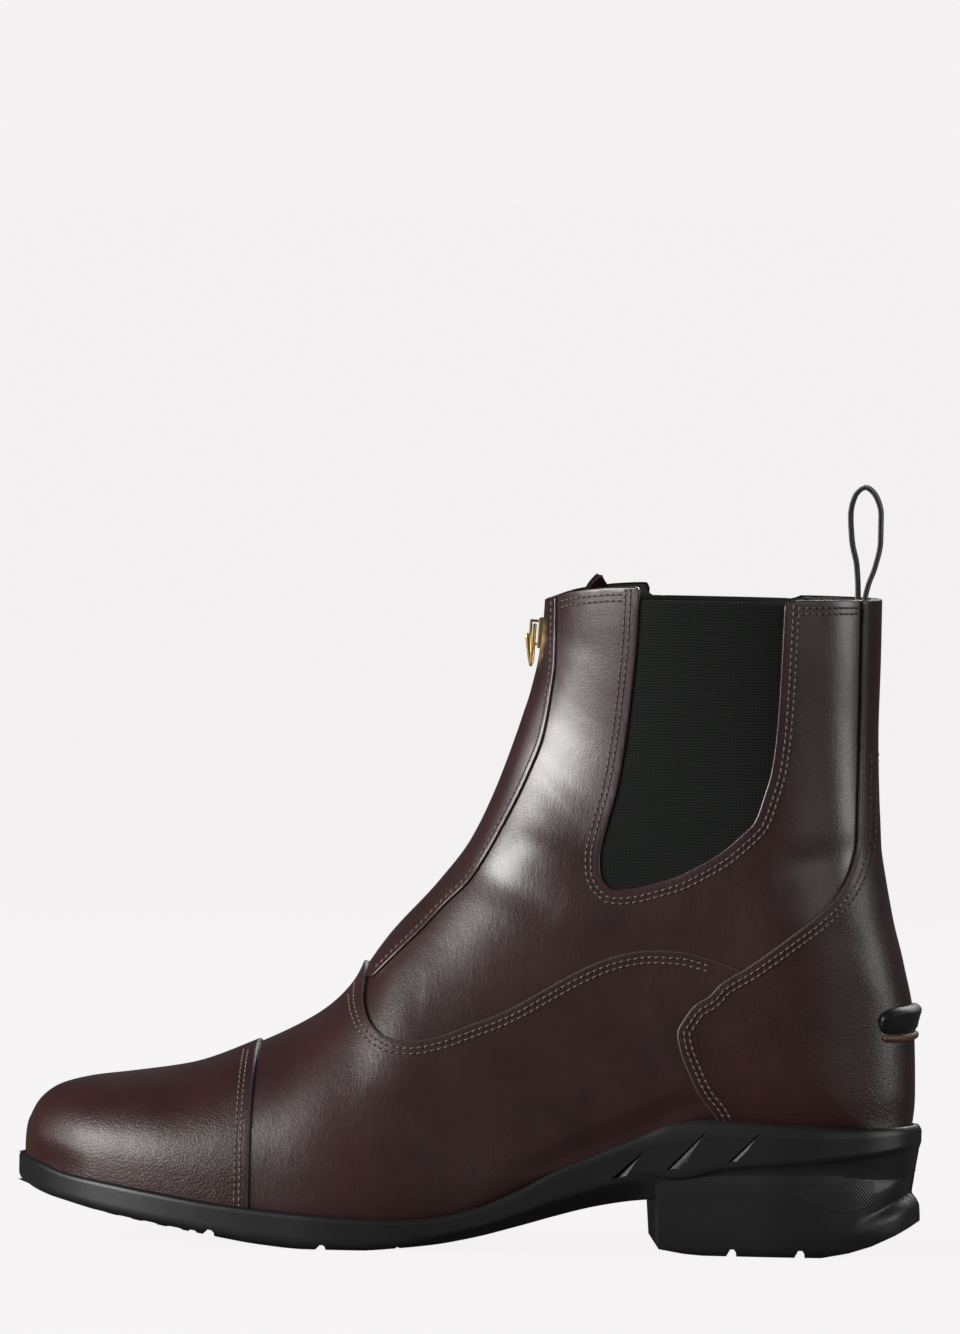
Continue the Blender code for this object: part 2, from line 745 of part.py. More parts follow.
def close_across(bm, ring):
    """Close a ring with strips that run across from the outer side to the inner side."""
    for i in range(len(ring) // 2):
        corners = (ring[i], ring[i + 1], ring[-(i + 1)], ring[-i])
        bm.faces.new(list(dict.fromkeys(corners)))


def at_back(shares):
    """How far places along the sole belong to its back, from 0 at its sides to 1."""
    return smooth([0, *BACK_BLEND, 1.001], [0, 0, 1, 1], shares)


def sole_unit():
    """The forepart, shank and heel seat of the sole, with its stepped side."""
    shares = (1 - np.cos(np.linspace(0, math.pi, OUTLINE_POINTS))) / 2
    edge = outline_ring(shares)
    shares = np.concatenate([shares, shares[-2:0:-1]])
    seat = smooth([0, *SEAT_BLEND, 1], [0, 0, 1, 1], shares)
    shank = smooth([0, *SHANK_BLEND, 1], [0, 0, 1, 1, 0, 0], shares)
    back = at_back(shares)
    lip = smooth(column(SIDE, 0), column(SIDE, 1), shares) * HEEL_HEIGHT
    tread = smooth(column(SIDE, 0), column(SIDE, 2), shares) * HEEL_HEIGHT
    levels = []
    for height, fore_inset, shank_inset, side_inset, back_inset in SIDE_STEPS:
        front = fore_inset * (1 - shank) + shank_inset * shank
        rear = side_inset * (1 - back) + back_inset * back
        inset = (front * (1 - seat) + rear * seat) * STEP_DEPTH
        levels.append(np.column_stack([moved_in(edge, inset), tread + height * (lip - tread)]))
    bm, rings = stacked(levels)
    for ring in (rings[0], rings[-1]):
        close_across(bm, ring)
    return make_object("unit", bm)


def heel_block():
    """The heel under the seat, with its waist, bevelled back and skewed breast."""
    quarter = np.sin(np.linspace(0, math.pi / 2, HEEL_POINTS))
    front = BREAST_ALONG - HEEL_START
    shares = front + (1 - front) * quarter
    edge = outline_ring(shares)
    back = at_back(np.concatenate([shares, shares[-2:0:-1]]))
    levels = []
    for height, side_inset, back_inset in HEEL_STEPS:
        ring = moved_in(edge, (side_inset * (1 - back) + back_inset * back) * STEP_DEPTH)
        levels.append([(x, y, height * HEEL_HEIGHT) for x, y in ring])
    bm, rings = stacked(levels)
    for ring in (rings[0], rings[-1]):
        bm.faces.new(ring)
    bmesh.ops.triangulate(bm, faces=[face for face in bm.faces if len(face.verts) > 4])
    heel = combine(make_object("heel", bm), breast_cutter(), "DIFFERENCE")
    line = [(along_x(a), h * HEEL_HEIGHT) for a, h in HEEL_TREAD]
    under = prism(line + [(line[-1][0], -FAR), (line[0][0], -FAR)])
    return combine(heel, under, "DIFFERENCE")


def breast_cutter():
    """Everything in front of the heel's breast, which lies further forward on the inner side."""
    half = BALL_WIDTH / 2
    outer_x = along_x(BREAST_ALONG) + BREAST_SKEW * (FAR - half) / half
    inner_x = along_x(BREAST_ALONG) - BREAST_SKEW * (FAR + half) / half
    corners = [(outer_x, -FAR), (inner_x, FAR), (-FAR, FAR), (-FAR, -FAR)]
    bm = bmesh.new()
    face = bm.faces.new([bm.verts.new((x, y, -HEEL_HEIGHT)) for x, y in corners])
    raised = bmesh.ops.extrude_face_region(bm, geom=[face])["geom"]
    top = [item for item in raised if isinstance(item, bmesh.types.BMVert)]
    bmesh.ops.translate(bm, verts=top, vec=(-BREAST_LEAN, 0, 2 * HEEL_HEIGHT))
    return make_object("breast", bm)


def slot_cutter(foot_along, foot_height, head_along, head_height, side):
    """A tapered wedge that cuts one slanted slot into a side of the heel seat."""
    foot = Vector((along_x(foot_along), foot_height * HEEL_HEIGHT))
    head = Vector((along_x(head_along), head_height * HEEL_HEIGHT))
    beside = foot + Vector((head.y - foot.y, foot.x - head.x)).normalized() * SLOT_WIDTH
    outer, inner = half_widths([head_along])
    face = (outer if side < 0 else inner)[0] - SLOT_DEPTH
    low, high = sorted((side * face, side * FAR))
    return prism([tuple(foot), tuple(head), tuple(beside)], low, high)


def groove_cutter(along, width, depth, tread):
    """A groove right across the tread at a share of the sole's length."""
    x = along_x(along)
    z = smooth(column(SIDE, 0), column(SIDE, 2), [along])[0] * HEEL_HEIGHT if tread else 0.0
    half = width / 2
    roof = half * LUG_TAPER
    corners = [(-half, -LUG_DEPTH), (half, -LUG_DEPTH), (roof, depth), (-roof, depth)]
    return prism([(x + run, z + rise) for run, rise in corners])


def build_outsole(rubber):
    """The moulded rubber sole: lip round the foot bed, lugs, slots and heel in one piece."""
    sole = combine(sole_unit(), heel_block(), "UNION")
    bed = last_form(2 * GAP + COUNTER_LEATHER)
    bed = combine(bed, above_floor(0.0), "INTERSECT")
    sole = combine(sole, bed, "DIFFERENCE")
    for along in FOREPART_GROOVES:
        sole = combine(sole, groove_cutter(along, LUG_WIDTH, LUG_DEPTH, True), "DIFFERENCE")
    for along in HEEL_GROOVES:
        sole = combine(sole, groove_cutter(along, LUG_WIDTH, LUG_DEPTH, False), "DIFFERENCE")
    for row in SLOTS:
        for side in (-1, 1):
            sole = combine(sole, slot_cutter(*row, side), "DIFFERENCE")
    return finish(sole, "outsole", rubber)


def build_insole(fabric):
    insole = last_form(-WALL - GAP)
    insole = combine(insole, above_floor(GAP), "INTERSECT")
    insole = combine(insole, below_floor(GAP + INSOLE_THICKNESS), "INTERSECT")
    return finish(insole, "insole", fabric)


def build_spur_rest(rubber):
    rest = layer(2 * GAP + COUNTER_LEATHER, 2 * GAP + COUNTER_LEATHER + REST_DEPTH)
    lower = [(along_x(a), low * BOOT_HEIGHT) for a, low, high in SPUR_REST]
    upper = [(along_x(a), high * BOOT_HEIGHT) for a, low, high in SPUR_REST]
    rest = combine(rest, prism(lower + upper[::-1]), "INTERSECT")
    return finish(rest, "spur_rest", rubber)


def front_point(height):
    """Place and outward slope of the front line of the last at a share of BOOT_HEIGHT."""
    rows = np.arange(len(LAST), dtype=float)
    at = np.linspace(0, len(LAST) - 1, FRONT_POINTS)
    x = along_x(smooth(rows, column(LAST, 0), at))
    z = smooth(rows, column(LAST, 1), at) * BOOT_HEIGHT
    here = np.interp(height * BOOT_HEIGHT, z, x)
    above = np.interp(height * BOOT_HEIGHT + SLIDER_LENGTH, z, x)
    return here, math.atan2(above - here, SLIDER_LENGTH)


def zip_frame():
    """The hinge point of the pull and the turn that leans slider and pull with the front line."""
    x, lean = front_point(SLIDER_HEIGHT)
    seat = WALL - ZIP_TEETH_RISE - 2 * GAP
    out = BRIDGE_DEPTH - BRIDGE_BAR - PIN_RADIUS - GAP
    return Vector((x + seat - SLIDER_DEPTH - out, 0.0, SLIDER_HEIGHT * BOOT_HEIGHT)), lean


def leaning(bm, pivot, lean):
    """Turn a piece made upright at the origin to the front line's lean and seat it there."""
    bmesh.ops.rotate(bm, verts=bm.verts, cent=(0, 0, 0), matrix=Matrix.Rotation(lean, 3, "Y"))
    bmesh.ops.translate(bm, verts=bm.verts, vec=pivot)


def block(size, centre, bevel=0.0):
    """A bevelled block as a bmesh."""
    bm = bmesh.new()
    bmesh.ops.create_cube(bm, size=1.0)
    bmesh.ops.scale(bm, vec=size, verts=bm.verts)
    if bevel:
        bmesh.ops.bevel(
            bm, geom=bm.edges[:], offset=bevel, segments=1, profile=0.5, affect="EDGES", material=-1
        )
    bmesh.ops.translate(bm, vec=centre, verts=bm.verts)
    return bm


def build_slider(brass):
    """The zip's slider over the teeth, with the arched bridge that holds the pull's pin."""
    out = BRIDGE_DEPTH - BRIDGE_BAR - PIN_RADIUS - GAP
    plate = block(
        (SLIDER_DEPTH, SLIDER_WIDTH, SLIDER_LENGTH), (out + SLIDER_DEPTH / 2, 0, -PIN_DROP), SMALL_BEVEL
    )
    slider = make_object("plate", plate)
    depth = BRIDGE_DEPTH + SLIDER_DEPTH / 2
    arch = block(
        (depth, BRIDGE_WIDTH, BRIDGE_LENGTH),
        (out - BRIDGE_DEPTH + depth / 2, 0, -PIN_DROP),
        SMALL_BEVEL,
    )
    slider = combine(slider, make_object("arch", arch), "UNION")
    room = BRIDGE_DEPTH - BRIDGE_BAR
    opening = block(
        (room, 3 * BRIDGE_WIDTH, BRIDGE_LENGTH - 2 * BRIDGE_BAR), (out - room / 2, 0, -PIN_DROP)
    )
    slider = combine(slider, make_object("opening", opening), "DIFFERENCE")
    slider = finish(slider, "zip_slider", brass)
    pivot, lean = zip_frame()
    bm = bmesh.new()
    bm.from_mesh(slider.data)
    leaning(bm, pivot, lean)
    bm.to_mesh(slider.data)
    bm.free()


def build_pull(brass):
    """The zip's pull: a frame hung on its pin through the slider's bridge, origin on the pin."""
    half = PULL_THICKNESS / 2
    frame = block(
        (PULL_THICKNESS, PULL_WIDTH, PULL_LENGTH),
        (0, 0, PIN_RADIUS - PULL_LENGTH / 2),
        SMALL_BEVEL,
    )
    pull = make_object("frame", frame)
    window = PULL_LENGTH - PULL_TAIL - 2 * PIN_RADIUS
    opening = block(
        (4 * half, BRIDGE_WIDTH + 2 * PIN_PLAY, window), (0, 0, -PIN_RADIUS - window / 2)
    )
    pull = combine(pull, make_object("opening", opening), "DIFFERENCE")
    pull = finish(pull, "zip_pull", brass)
    pivot, lean = zip_frame()
    pull.location = pivot
    pull.rotation_euler = (0.0, lean, 0.0)


def main():
    for old in list(bpy.data.objects):
        bpy.data.objects.remove(old)
    leather = material("oxblood_leather", (0.055, 0.022, 0.018), 0.42)
    overlay = material("grained_leather", (0.060, 0.024, 0.020), 0.38)
    cloth = material("black_elastic", (0.012, 0.014, 0.012), 0.85)
    rubber = material("black_rubber", (0.014, 0.014, 0.014), 0.55)
    brass = material("brass", (0.72, 0.52, 0.24), 0.3, 1.0)
    lining = material("lining", (0.10, 0.07, 0.05), 0.9)
    webbing = material("webbing", (0.02, 0.02, 0.02), 0.8)
    build_upper(leather)
    build_outsole(rubber)
    build_insole(lining)
    build_vamp(overlay)
    build_toe_cap(overlay)
    build_counter(overlay)
    for name, side in (("outer", -1), ("inner", 1)):
        build_facing(f"zip_facing_{name}", side, overlay)
        build_gore(f"gore_{name}", side, cloth)
    build_zip(webbing, brass)
    build_guard(leather)
    build_slider(brass)
    build_pull(brass)
    build_loop(webbing)
    build_spur_rest(rubber)


main()
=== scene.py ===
"""Leather, rubber, elastic and metal of a left paddock boot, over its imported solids.

The toe points to -X, the outer side faces -Y and the sole stands on z = 0. Sizes are in metres.
"""

import math

import bmesh
import bpy
import numpy as np
from mathutils import Matrix, Vector
from mathutils.bvhtree import BVHTree
from mathutils.kdtree import KDTree


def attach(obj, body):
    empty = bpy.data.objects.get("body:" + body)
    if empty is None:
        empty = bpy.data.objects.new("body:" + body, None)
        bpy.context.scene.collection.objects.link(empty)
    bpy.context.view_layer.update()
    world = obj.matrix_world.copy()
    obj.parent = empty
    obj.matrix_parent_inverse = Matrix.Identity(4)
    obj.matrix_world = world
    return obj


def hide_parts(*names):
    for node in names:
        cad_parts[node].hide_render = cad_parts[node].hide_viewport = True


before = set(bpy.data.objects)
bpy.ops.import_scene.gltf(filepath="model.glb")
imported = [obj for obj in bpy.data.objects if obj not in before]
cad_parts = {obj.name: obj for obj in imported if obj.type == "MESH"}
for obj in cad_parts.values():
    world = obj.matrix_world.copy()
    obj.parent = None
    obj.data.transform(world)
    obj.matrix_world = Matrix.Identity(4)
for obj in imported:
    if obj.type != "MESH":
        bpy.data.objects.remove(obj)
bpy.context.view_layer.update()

SOLE_LENGTH = 0.2805
BALL_WIDTH = 0.096
BOOT_HEIGHT = 0.2025
HEEL_HEIGHT = 0.042
LIP_HEIGHT = 0.0042
FAR = 0.3

WALL = 0.0016
VAMP_FACE = 0.0014
CAP_FACE = 0.0022
COUNTER_FACE = 0.0019
FACING_FACE = 0.0009
GORE_FACE = -0.0019
ZIP_OPENING = 0.009
EDGE_ROUND = 0.0005

# How finely the leather is divided: along the foot and shaft, round it and over the toe's tip
LEATHER_ROWS = 250
LEATHER_COLUMNS = 264
POLE_ROWS = 10
# How squarely the toe's tip turns into its sides
POLE_POWER = 5

# Sections of the last from the toe to the collar: dorsal along and height, ventral along and
# height, half width, centre, widest, dorsal and ventral power.
LAST = [
    (0.0190, 0.172, 0.0195, 0.088, 0.130, 0.062, 0.60, 2.2, 2.6),
    (0.0285, 0.197, 0.0300, 0.066, 0.212, 0.054, 0.60, 2.3, 2.8),
    (0.0460, 0.217, 0.0480, 0.052, 0.268, 0.048, 0.60, 2.4, 3.0),
    (0.0800, 0.231, 0.0820, 0.041, 0.333, 0.036, 0.62, 2.5, 3.2),
    (0.1300, 0.241, 0.1360, 0.025, 0.384, 0.022, 0.62, 2.5, 3.4),
    (0.1930, 0.256, 0.2000, 0.008, 0.421, 0.008, 0.64, 2.4, 3.6),
    (0.2580, 0.290, 0.2650, -0.008, 0.441, -0.005, 0.66, 2.3, 3.8),
    (0.3220, 0.337, 0.3350, -0.018, 0.449, -0.020, 0.68, 2.2, 3.8),
    (0.3720, 0.401, 0.4150, -0.020, 0.434, -0.032, 0.70, 2.1, 3.8),
    (0.4155, 0.479, 0.4980, -0.008, 0.394, -0.042, 0.70, 2.2, 3.6),
    (0.4620, 0.551, 0.5900, 0.045, 0.352, -0.038, 0.66, 2.3, 3.4),
    (0.4980, 0.619, 0.6900, 0.085, 0.331, -0.026, 0.60, 2.45, 3.3),
    (0.5190, 0.680, 0.7950, 0.120, 0.322, -0.014, 0.58, 2.6, 3.2),
    (0.5330, 0.731, 0.8950, 0.132, 0.318, -0.006, 0.58, 2.65, 3.2),
    (0.5415, 0.766, 0.9700, 0.150, 0.316, -0.003, 0.58, 2.65, 2.9),
    (0.5480, 0.794, 0.9850, 0.240, 0.314, 0.0, 0.58, 2.6, 2.45),
    (0.5535, 0.819, 0.9820, 0.355, 0.312, 0.0, 0.57, 2.55, 2.35),
    (0.5585, 0.841, 0.9700, 0.440, 0.310, 0.0, 0.56, 2.5, 2.3),
    (0.5630, 0.866, 0.9560, 0.515, 0.312, 0.0, 0.55, 2.45, 2.3),
    (0.5670, 0.891, 0.9450, 0.600, 0.318, 0.0, 0.54, 2.4, 2.3),
    (0.5700, 0.920, 0.9385, 0.700, 0.330, 0.0, 0.53, 2.3, 2.3),
    (0.5725, 0.955, 0.9360, 0.810, 0.345, 0.0, 0.52, 2.2, 2.3),
    (0.5740, 0.995, 0.9370, 0.920, 0.357, 0.0, 0.52, 2.2, 2.3),
    (0.5750, 1.045, 0.9370, 1.045, 0.365, 0.0, 0.52, 2.2, 2.3),
]
TOE_POLE = (0.0172, 0.133, 0.062)

# The sole from above: along, then half width on the outer and the inner side
OUTLINE = [
    (0.0000, -0.062, 0.062),
    (0.0003, -0.038, 0.088),
    (0.0012, -0.014, 0.116),
    (0.0027, 0.011, 0.143),
    (0.0050, 0.035, 0.170),
    (0.0190, 0.145, 0.270),
    (0.0450, 0.250, 0.352),
    (0.0900, 0.354, 0.422),
    (0.1500, 0.427, 0.464),
    (0.2200, 0.474, 0.480),
    (0.2900, 0.500, 0.484),
    (0.3500, 0.514, 0.474),
    (0.4100, 0.508, 0.442),
    (0.4700, 0.482, 0.396),
    (0.5300, 0.442, 0.350),
    (0.5900, 0.401, 0.320),
    (0.6500, 0.370, 0.308),
    (0.7100, 0.354, 0.312),
    (0.7700, 0.352, 0.326),
    (0.8300, 0.352, 0.338),
    (0.8850, 0.338, 0.332),
    (0.9300, 0.298, 0.297),
    (0.9650, 0.226, 0.226),
    (0.9880, 0.135, 0.135),
    (1.0000, 0.0, 0.0),
]
# The sole from its side: along, then height of the lip and of the tread over the heel's height
SIDE = [
    (0.000, 0.605, 0.400),
    (0.030, 0.550, 0.325),
    (0.060, 0.492, 0.280),
    (0.100, 0.450, 0.222),
    (0.160, 0.388, 0.150),
    (0.220, 0.328, 0.085),
    (0.280, 0.287, 0.025),
    (0.330, 0.260, 0.000),
    (0.390, 0.236, 0.000),
    (0.430, 0.230, 0.020),
    (0.475, 0.256, 0.052),
    (0.520, 0.330, 0.107),
    (0.563, 0.457, 0.183),
    (0.607, 0.620, 0.270),
    (0.650, 0.745, 0.345),
    (0.695, 0.875, 0.395),
    (0.730, 0.975, 0.415),
    (0.765, 1.000, 0.420),
    (0.860, 0.973, 0.420),
    (0.930, 0.957, 0.420),
    (1.000, 0.965, 0.420),
]
CAP_SEAM_ALONG = 0.266
# Seams in side view, along the sole and up over the boot's height
VAMP_EDGE = [
    (0.366, 0.470),
    (0.386, 0.446),
    (0.384, 0.384),
    (0.390, 0.354),
    (0.403, 0.333),
    (0.419, 0.322),
    (0.440, 0.319),
    (0.467, 0.326),
    (0.504, 0.345),
    (0.544, 0.368),
    (0.583, 0.399),
    (0.615, 0.425),
    (0.648, 0.447),
    (0.676, 0.459),
    (0.702, 0.464),
    (0.733, 0.463),
    (0.763, 0.454),
    (0.800, 0.437),
]
COUNTER_EDGE = [
    (0.928, 1.100),
    (0.928, 0.763),
    (0.928, 0.637),
    (0.921, 0.590),
    (0.909, 0.557),
    (0.883, 0.520),
    (0.850, 0.484),
    (0.810, 0.443),
    (0.777, 0.413),
    (0.768, 0.398),
    (0.750, 0.381),
    (0.742, 0.366),
    (0.732, 0.337),
    (0.735, 0.314),
    (0.745, 0.279),
    (0.759, 0.240),
    (0.777, 0.208),
    (0.800, 0.120),
]
FACING_SEAM = [
    (0.393, 0.411),
    (0.419, 0.448),
    (0.445, 0.484),
    (0.471, 0.524),
    (0.498, 0.562),
    (0.515, 0.600),
    (0.536, 0.655),
    (0.558, 0.720),
    (0.575, 0.785),
    (0.582, 0.845),
    (0.586, 0.900),
    (0.585, 1.060),
]
GORE_EDGE = [
    (0.679, 1.100),
    (0.675, 0.934),
    (0.670, 0.850),
    (0.664, 0.775),
    (0.655, 0.699),
    (0.645, 0.646),
    (0.639, 0.602),
    (0.640, 0.578),
    (0.647, 0.560),
    (0.660, 0.549),
    (0.679, 0.552),
    (0.704, 0.561),
    (0.727, 0.571),
    (0.750, 0.587),
    (0.775, 0.608),
    (0.798, 0.635),
    (0.815, 0.660),
    (0.824, 0.695),
    (0.833, 0.741),
    (0.838, 0.800),
    (0.841, 0.880),
    (0.846, 1.100),
]
COLLAR_LINE = [
    (0.520, 0.985),
    (0.576, 0.993),
    (0.598, 1.004),
    (0.621, 1.010),
    (0.646, 1.014),
    (0.676, 1.016),
    (0.683, 1.000),
    (0.760, 0.997),
    (0.843, 0.996),
    (0.850, 1.001),
    (0.980, 1.002),
]


def along_x(share):
    return (share - 0.5) * SOLE_LENGTH


def column(table, index):
    return np.array([row[index] for row in table])


def smooth(xs, ys, at):
    """Values at the places `at` of a smooth curve through the points that never overshoots."""
    xs, ys, at = np.asarray(xs, float), np.asarray(ys, float), np.asarray(at, float)
    step = np.diff(xs)
    slope = np.diff(ys) / step
    tangent = np.zeros(len(xs))
    tangent[0], tangent[-1] = slope[0], slope[-1]
    for i in range(1, len(xs) - 1):
        if slope[i - 1] * slope[i] > 0:
            before, after = 2 * step[i] + step[i - 1], step[i] + 2 * step[i - 1]
            tangent[i] = (before + after) / (before / slope[i - 1] + after / slope[i])
    i = np.clip(np.searchsorted(xs, at) - 1, 0, len(step) - 1)
    t = np.clip((at - xs[i]) / step[i], 0.0, 1.0)
    start = (1 + 2 * t) * (1 - t) ** 2 * ys[i] + t * (1 - t) ** 2 * step[i] * tangent[i]
    return start + t * t * (3 - 2 * t) * ys[i + 1] - t * t * (1 - t) * step[i] * tangent[i + 1]


def curve(table, index, at):
    """Values of one of a table's columns at shares of its first, on a smooth curve."""
    return smooth(column(table, 0), column(table, index), at)


def side_points(table):
    return [(along_x(row[0]), row[1] * BOOT_HEIGHT) for row in table]


def rounded(points, count=90):
    """A seam's points in side view, spaced evenly along a smooth curve through them."""
    points = np.array(points)
    run = np.concatenate([[0], np.cumsum(np.linalg.norm(np.diff(points, axis=0), axis=1))])
    at = np.linspace(0, run[-1], count)
    return np.column_stack([smooth(run, points[:, i], at) for i in range(points.shape[1])])


SIDES = {"outer": -1, "inner": 1}


def beside(points, distance):
    """A seam's line moved sideways in side view, to the right of its run if positive."""
    ahead = np.gradient(np.asarray(points), axis=0)
    ahead /= np.linalg.norm(ahead, axis=1, keepdims=True)
    return points + np.column_stack([ahead[:, 1], -ahead[:, 0]]) * distance


def lip_height(x):
    share = np.clip(np.asarray(x) / SOLE_LENGTH + 0.5, 0, 1)
    return curve(SIDE, 1, share) * HEEL_HEIGHT


def collar_height(x):
    along, height = zip(*side_points(COLLAR_LINE))
    return np.interp(x, along, height)


# The last and the leather skins


def last_surface():
    """Points of the last on a fine grid from its toe to its collar, and their outward normals."""
    rows = np.arange(len(LAST), dtype=float)
    fan = np.linspace(0, len(LAST) - 1, LEATHER_ROWS)
    value = [smooth(rows, column(LAST, i), fan)[:, None] for i in range(9)]
    turn = np.linspace(0, 2 * math.pi, LEATHER_COLUMNS + 1)[None, :]
    down, across = np.cos(turn), np.sin(turn)
    power = np.where(down > 0, value[7], value[8])
    share = np.abs(down) ** (2 / power)
    chord = np.where(down > 0, value[6] * (1 - share), value[6] + (1 - value[6]) * share)
    reach = np.sign(across) * np.abs(across) ** (2 / power)
    xs = along_x(value[0] + (value[2] - value[0]) * chord)
    zs = (value[1] + (value[3] - value[1]) * chord) * BOOT_HEIGHT
    ys = (value[5] - value[4] * reach) * BALL_WIDTH
    body = np.stack([xs, ys, zs], axis=2)
    pole = np.array([along_x(TOE_POLE[0]), TOE_POLE[2] * BALL_WIDTH, TOE_POLE[1] * BOOT_HEIGHT])
    spread = np.sin(np.linspace(0, math.pi / 2, POLE_ROWS, endpoint=False))[:, None, None]
    rise = spread**POLE_POWER
    cap = pole + (body[:1] - pole) * spread
    cap[:, :, 0] = pole[0] + (body[:1, :, 0] - pole[0]) * rise[:, :, 0]
    points = np.concatenate([cap, body])
    around = np.zeros_like(points)
    around[:, 1:-1] = points[:, 2:] - points[:, :-2]
    around[:, 0] = around[:, -1] = points[:, 1] - points[:, -2]
    normals = np.cross(np.gradient(points, axis=0), around)
    length = np.linalg.norm(normals, axis=2, keepdims=True)
    normals = np.where(length > 1e-14, normals / np.maximum(length, 1e-14), [-1.0, 0.0, 0.0])
    middle = points.mean(axis=1, keepdims=True)
    if np.sum(normals * (points - middle)) < 0:
        normals = -normals
    normals[0] = [-1.0, 0.0, 0.0]
    return points, normals


LAST_POINTS, LAST_NORMALS = last_surface()


def crease(points, start, end, depth, width, side):
    """A soft trough (or ridge, where depth is negative) between two points in side view."""
    start, end = np.array(start), np.array(end)
    ahead = end - start
    flat = points[..., [0, 2]]
    share = np.clip(((flat - start) @ ahead) / (ahead @ ahead), 0, 1)
    away = np.linalg.norm(flat - start - share[..., None] * ahead, axis=-1)
    fade = np.sin(np.clip(share, 0.02, 0.98) * math.pi) ** 0.7
    near = 1 / (1 + np.exp(-side * points[..., 1] / 0.006))
    return -depth * np.exp(-((away / width) ** 2)) * fade * near


# Troughs where the leather folds at the ankle and behind the ball: start, end, depth, width, side
CREASES = [
    ((0.000, 0.118), (0.030, 0.104), 0.0007, 0.0060, -1),
    ((0.012, 0.128), (0.036, 0.118), -0.0005, 0.0050, -1),
    ((0.092, 0.118), (0.128, 0.126), 0.0008, 0.0060, -1),
    ((0.088, 0.104), (0.126, 0.108), -0.0005, 0.0060, -1),
    ((-0.030, 0.050), (0.002, 0.032), 0.0005, 0.0060, -1),
    ((0.000, 0.118), (0.030, 0.104), 0.0008, 0.0060, 1),
    ((0.090, 0.118), (0.128, 0.126), 0.0008, 0.0060, 1),
    ((-0.034, 0.046), (-0.004, 0.028), 0.0007, 0.0050, 1),
    ((-0.024, 0.054), (0.006, 0.034), 0.0006, 0.0050, 1),
]


# Hollow across the instep below the throat: height, reach up and down, reach across, depth
INSTEP_HOLLOW = (0.0760, 0.0085, 0.022, 0.0013)


def leather_relief():
    height, up, across, depth = INSTEP_HOLLOW
    front = (LAST_POINTS[..., 0] < along_x(0.45)) * np.exp(-((LAST_POINTS[..., 1] / across) ** 2))
    relief = -depth * front * np.exp(-(((LAST_POINTS[..., 2] - height) / up) ** 2))
    for start, end, depth, width, side in CREASES:
        relief += crease(LAST_POINTS, start, end, depth, width, side)
    return relief


RELIEF = leather_relief()


def make_piece(name, bm, materials, body="boot"):
    mesh = bpy.data.meshes.new(name)
    bm.to_mesh(mesh)
    bm.free()
    for finish in materials:
        mesh.materials.append(finish)
    mesh.shade_smooth()
    piece = bpy.data.objects.new(name, mesh)
    bpy.context.scene.collection.objects.link(piece)
    if body:
        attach(piece, body)
    return piece


# Points nearer than this are one, in a form and in a cut skin
WELD = 0.00001
SKIN_WELD = 0.00012


def grid_form(points):
    """A closed form through rows of points, each row a closed ring, as a bmesh."""
    rows, columns = points.shape[:2]
    bm = bmesh.new()
    bmesh.ops.create_grid(bm, x_segments=rows - 1, y_segments=columns - 1, size=1.0)
    for vert in bm.verts:
        row = round((vert.co.x + 1) / 2 * (rows - 1))
        turn = round((vert.co.y + 1) / 2 * (columns - 1))
        vert.co = points[row, turn]
    bmesh.ops.remove_doubles(bm, verts=bm.verts, dist=WELD)
    bmesh.ops.holes_fill(bm, edges=[edge for edge in bm.edges if edge.is_boundary], sides=0)
    bmesh.ops.recalc_face_normals(bm, faces=bm.faces)
    return bm


# How far the last's own surface stays inside the sole's edge, and the height above the lip
# over which the upper swells out past it.
LIP_MARGIN = 0.0037
SWELL_HEIGHT = 0.0100


def kept_on_sole(points, margin):
    """Points drawn in where they would hang over the sole's lip."""
    lift = points[..., 2] - lip_height(points[..., 0])
    low = np.nonzero(lift < SWELL_HEIGHT)
    edge = outline_ring((1 - np.cos(np.linspace(0, math.pi, 300))) / 2)
    edge = moved_in(edge, np.full(len(edge), margin))
    ahead = np.gradient(edge, axis=0)
    outward = np.stack([ahead[:, 1], -ahead[:, 0]], axis=1)
    outward /= np.linalg.norm(outward, axis=1, keepdims=True)
    places = points[low]
    near = [np.argmin(np.sum((edge - place) ** 2, axis=1)) for place in places[:, :2]]
    over = np.sum((places[:, :2] - edge[near]) * outward[near], axis=1)
    share = np.clip(1 - lift[low] / SWELL_HEIGHT, 0, 1)
    draw = np.maximum(over, 0) * share * share * (3 - 2 * share)
    places[:, :2] -= outward[near] * draw[:, None]
    points[low] = places
    return points


def last_form(offset, creased=True):
    """The closed form of the last grown by `offset`, as a bmesh."""
    relief = RELIEF[..., None] if creased else 0.0
    points = LAST_POINTS + LAST_NORMALS * (offset + relief)
    bm = grid_form(kept_on_sole(points, LIP_MARGIN - offset))
    for face in bm.faces:
        if len(face.verts) > 4:
            face.material_index = 1
    return bm


def raised_form(corners, rise):
    """A closed form made of one face and its copy moved by `rise`."""
    bm = bmesh.new()
    face = bm.faces.new([bm.verts.new(corner) for corner in corners])
    raised = bmesh.ops.extrude_face_region(bm, geom=[face])["geom"]
    top = [item for item in raised if isinstance(item, bmesh.types.BMVert)]
    bmesh.ops.translate(bm, verts=top, vec=rise)
    bmesh.ops.recalc_face_normals(bm, faces=bm.faces)
    return bm


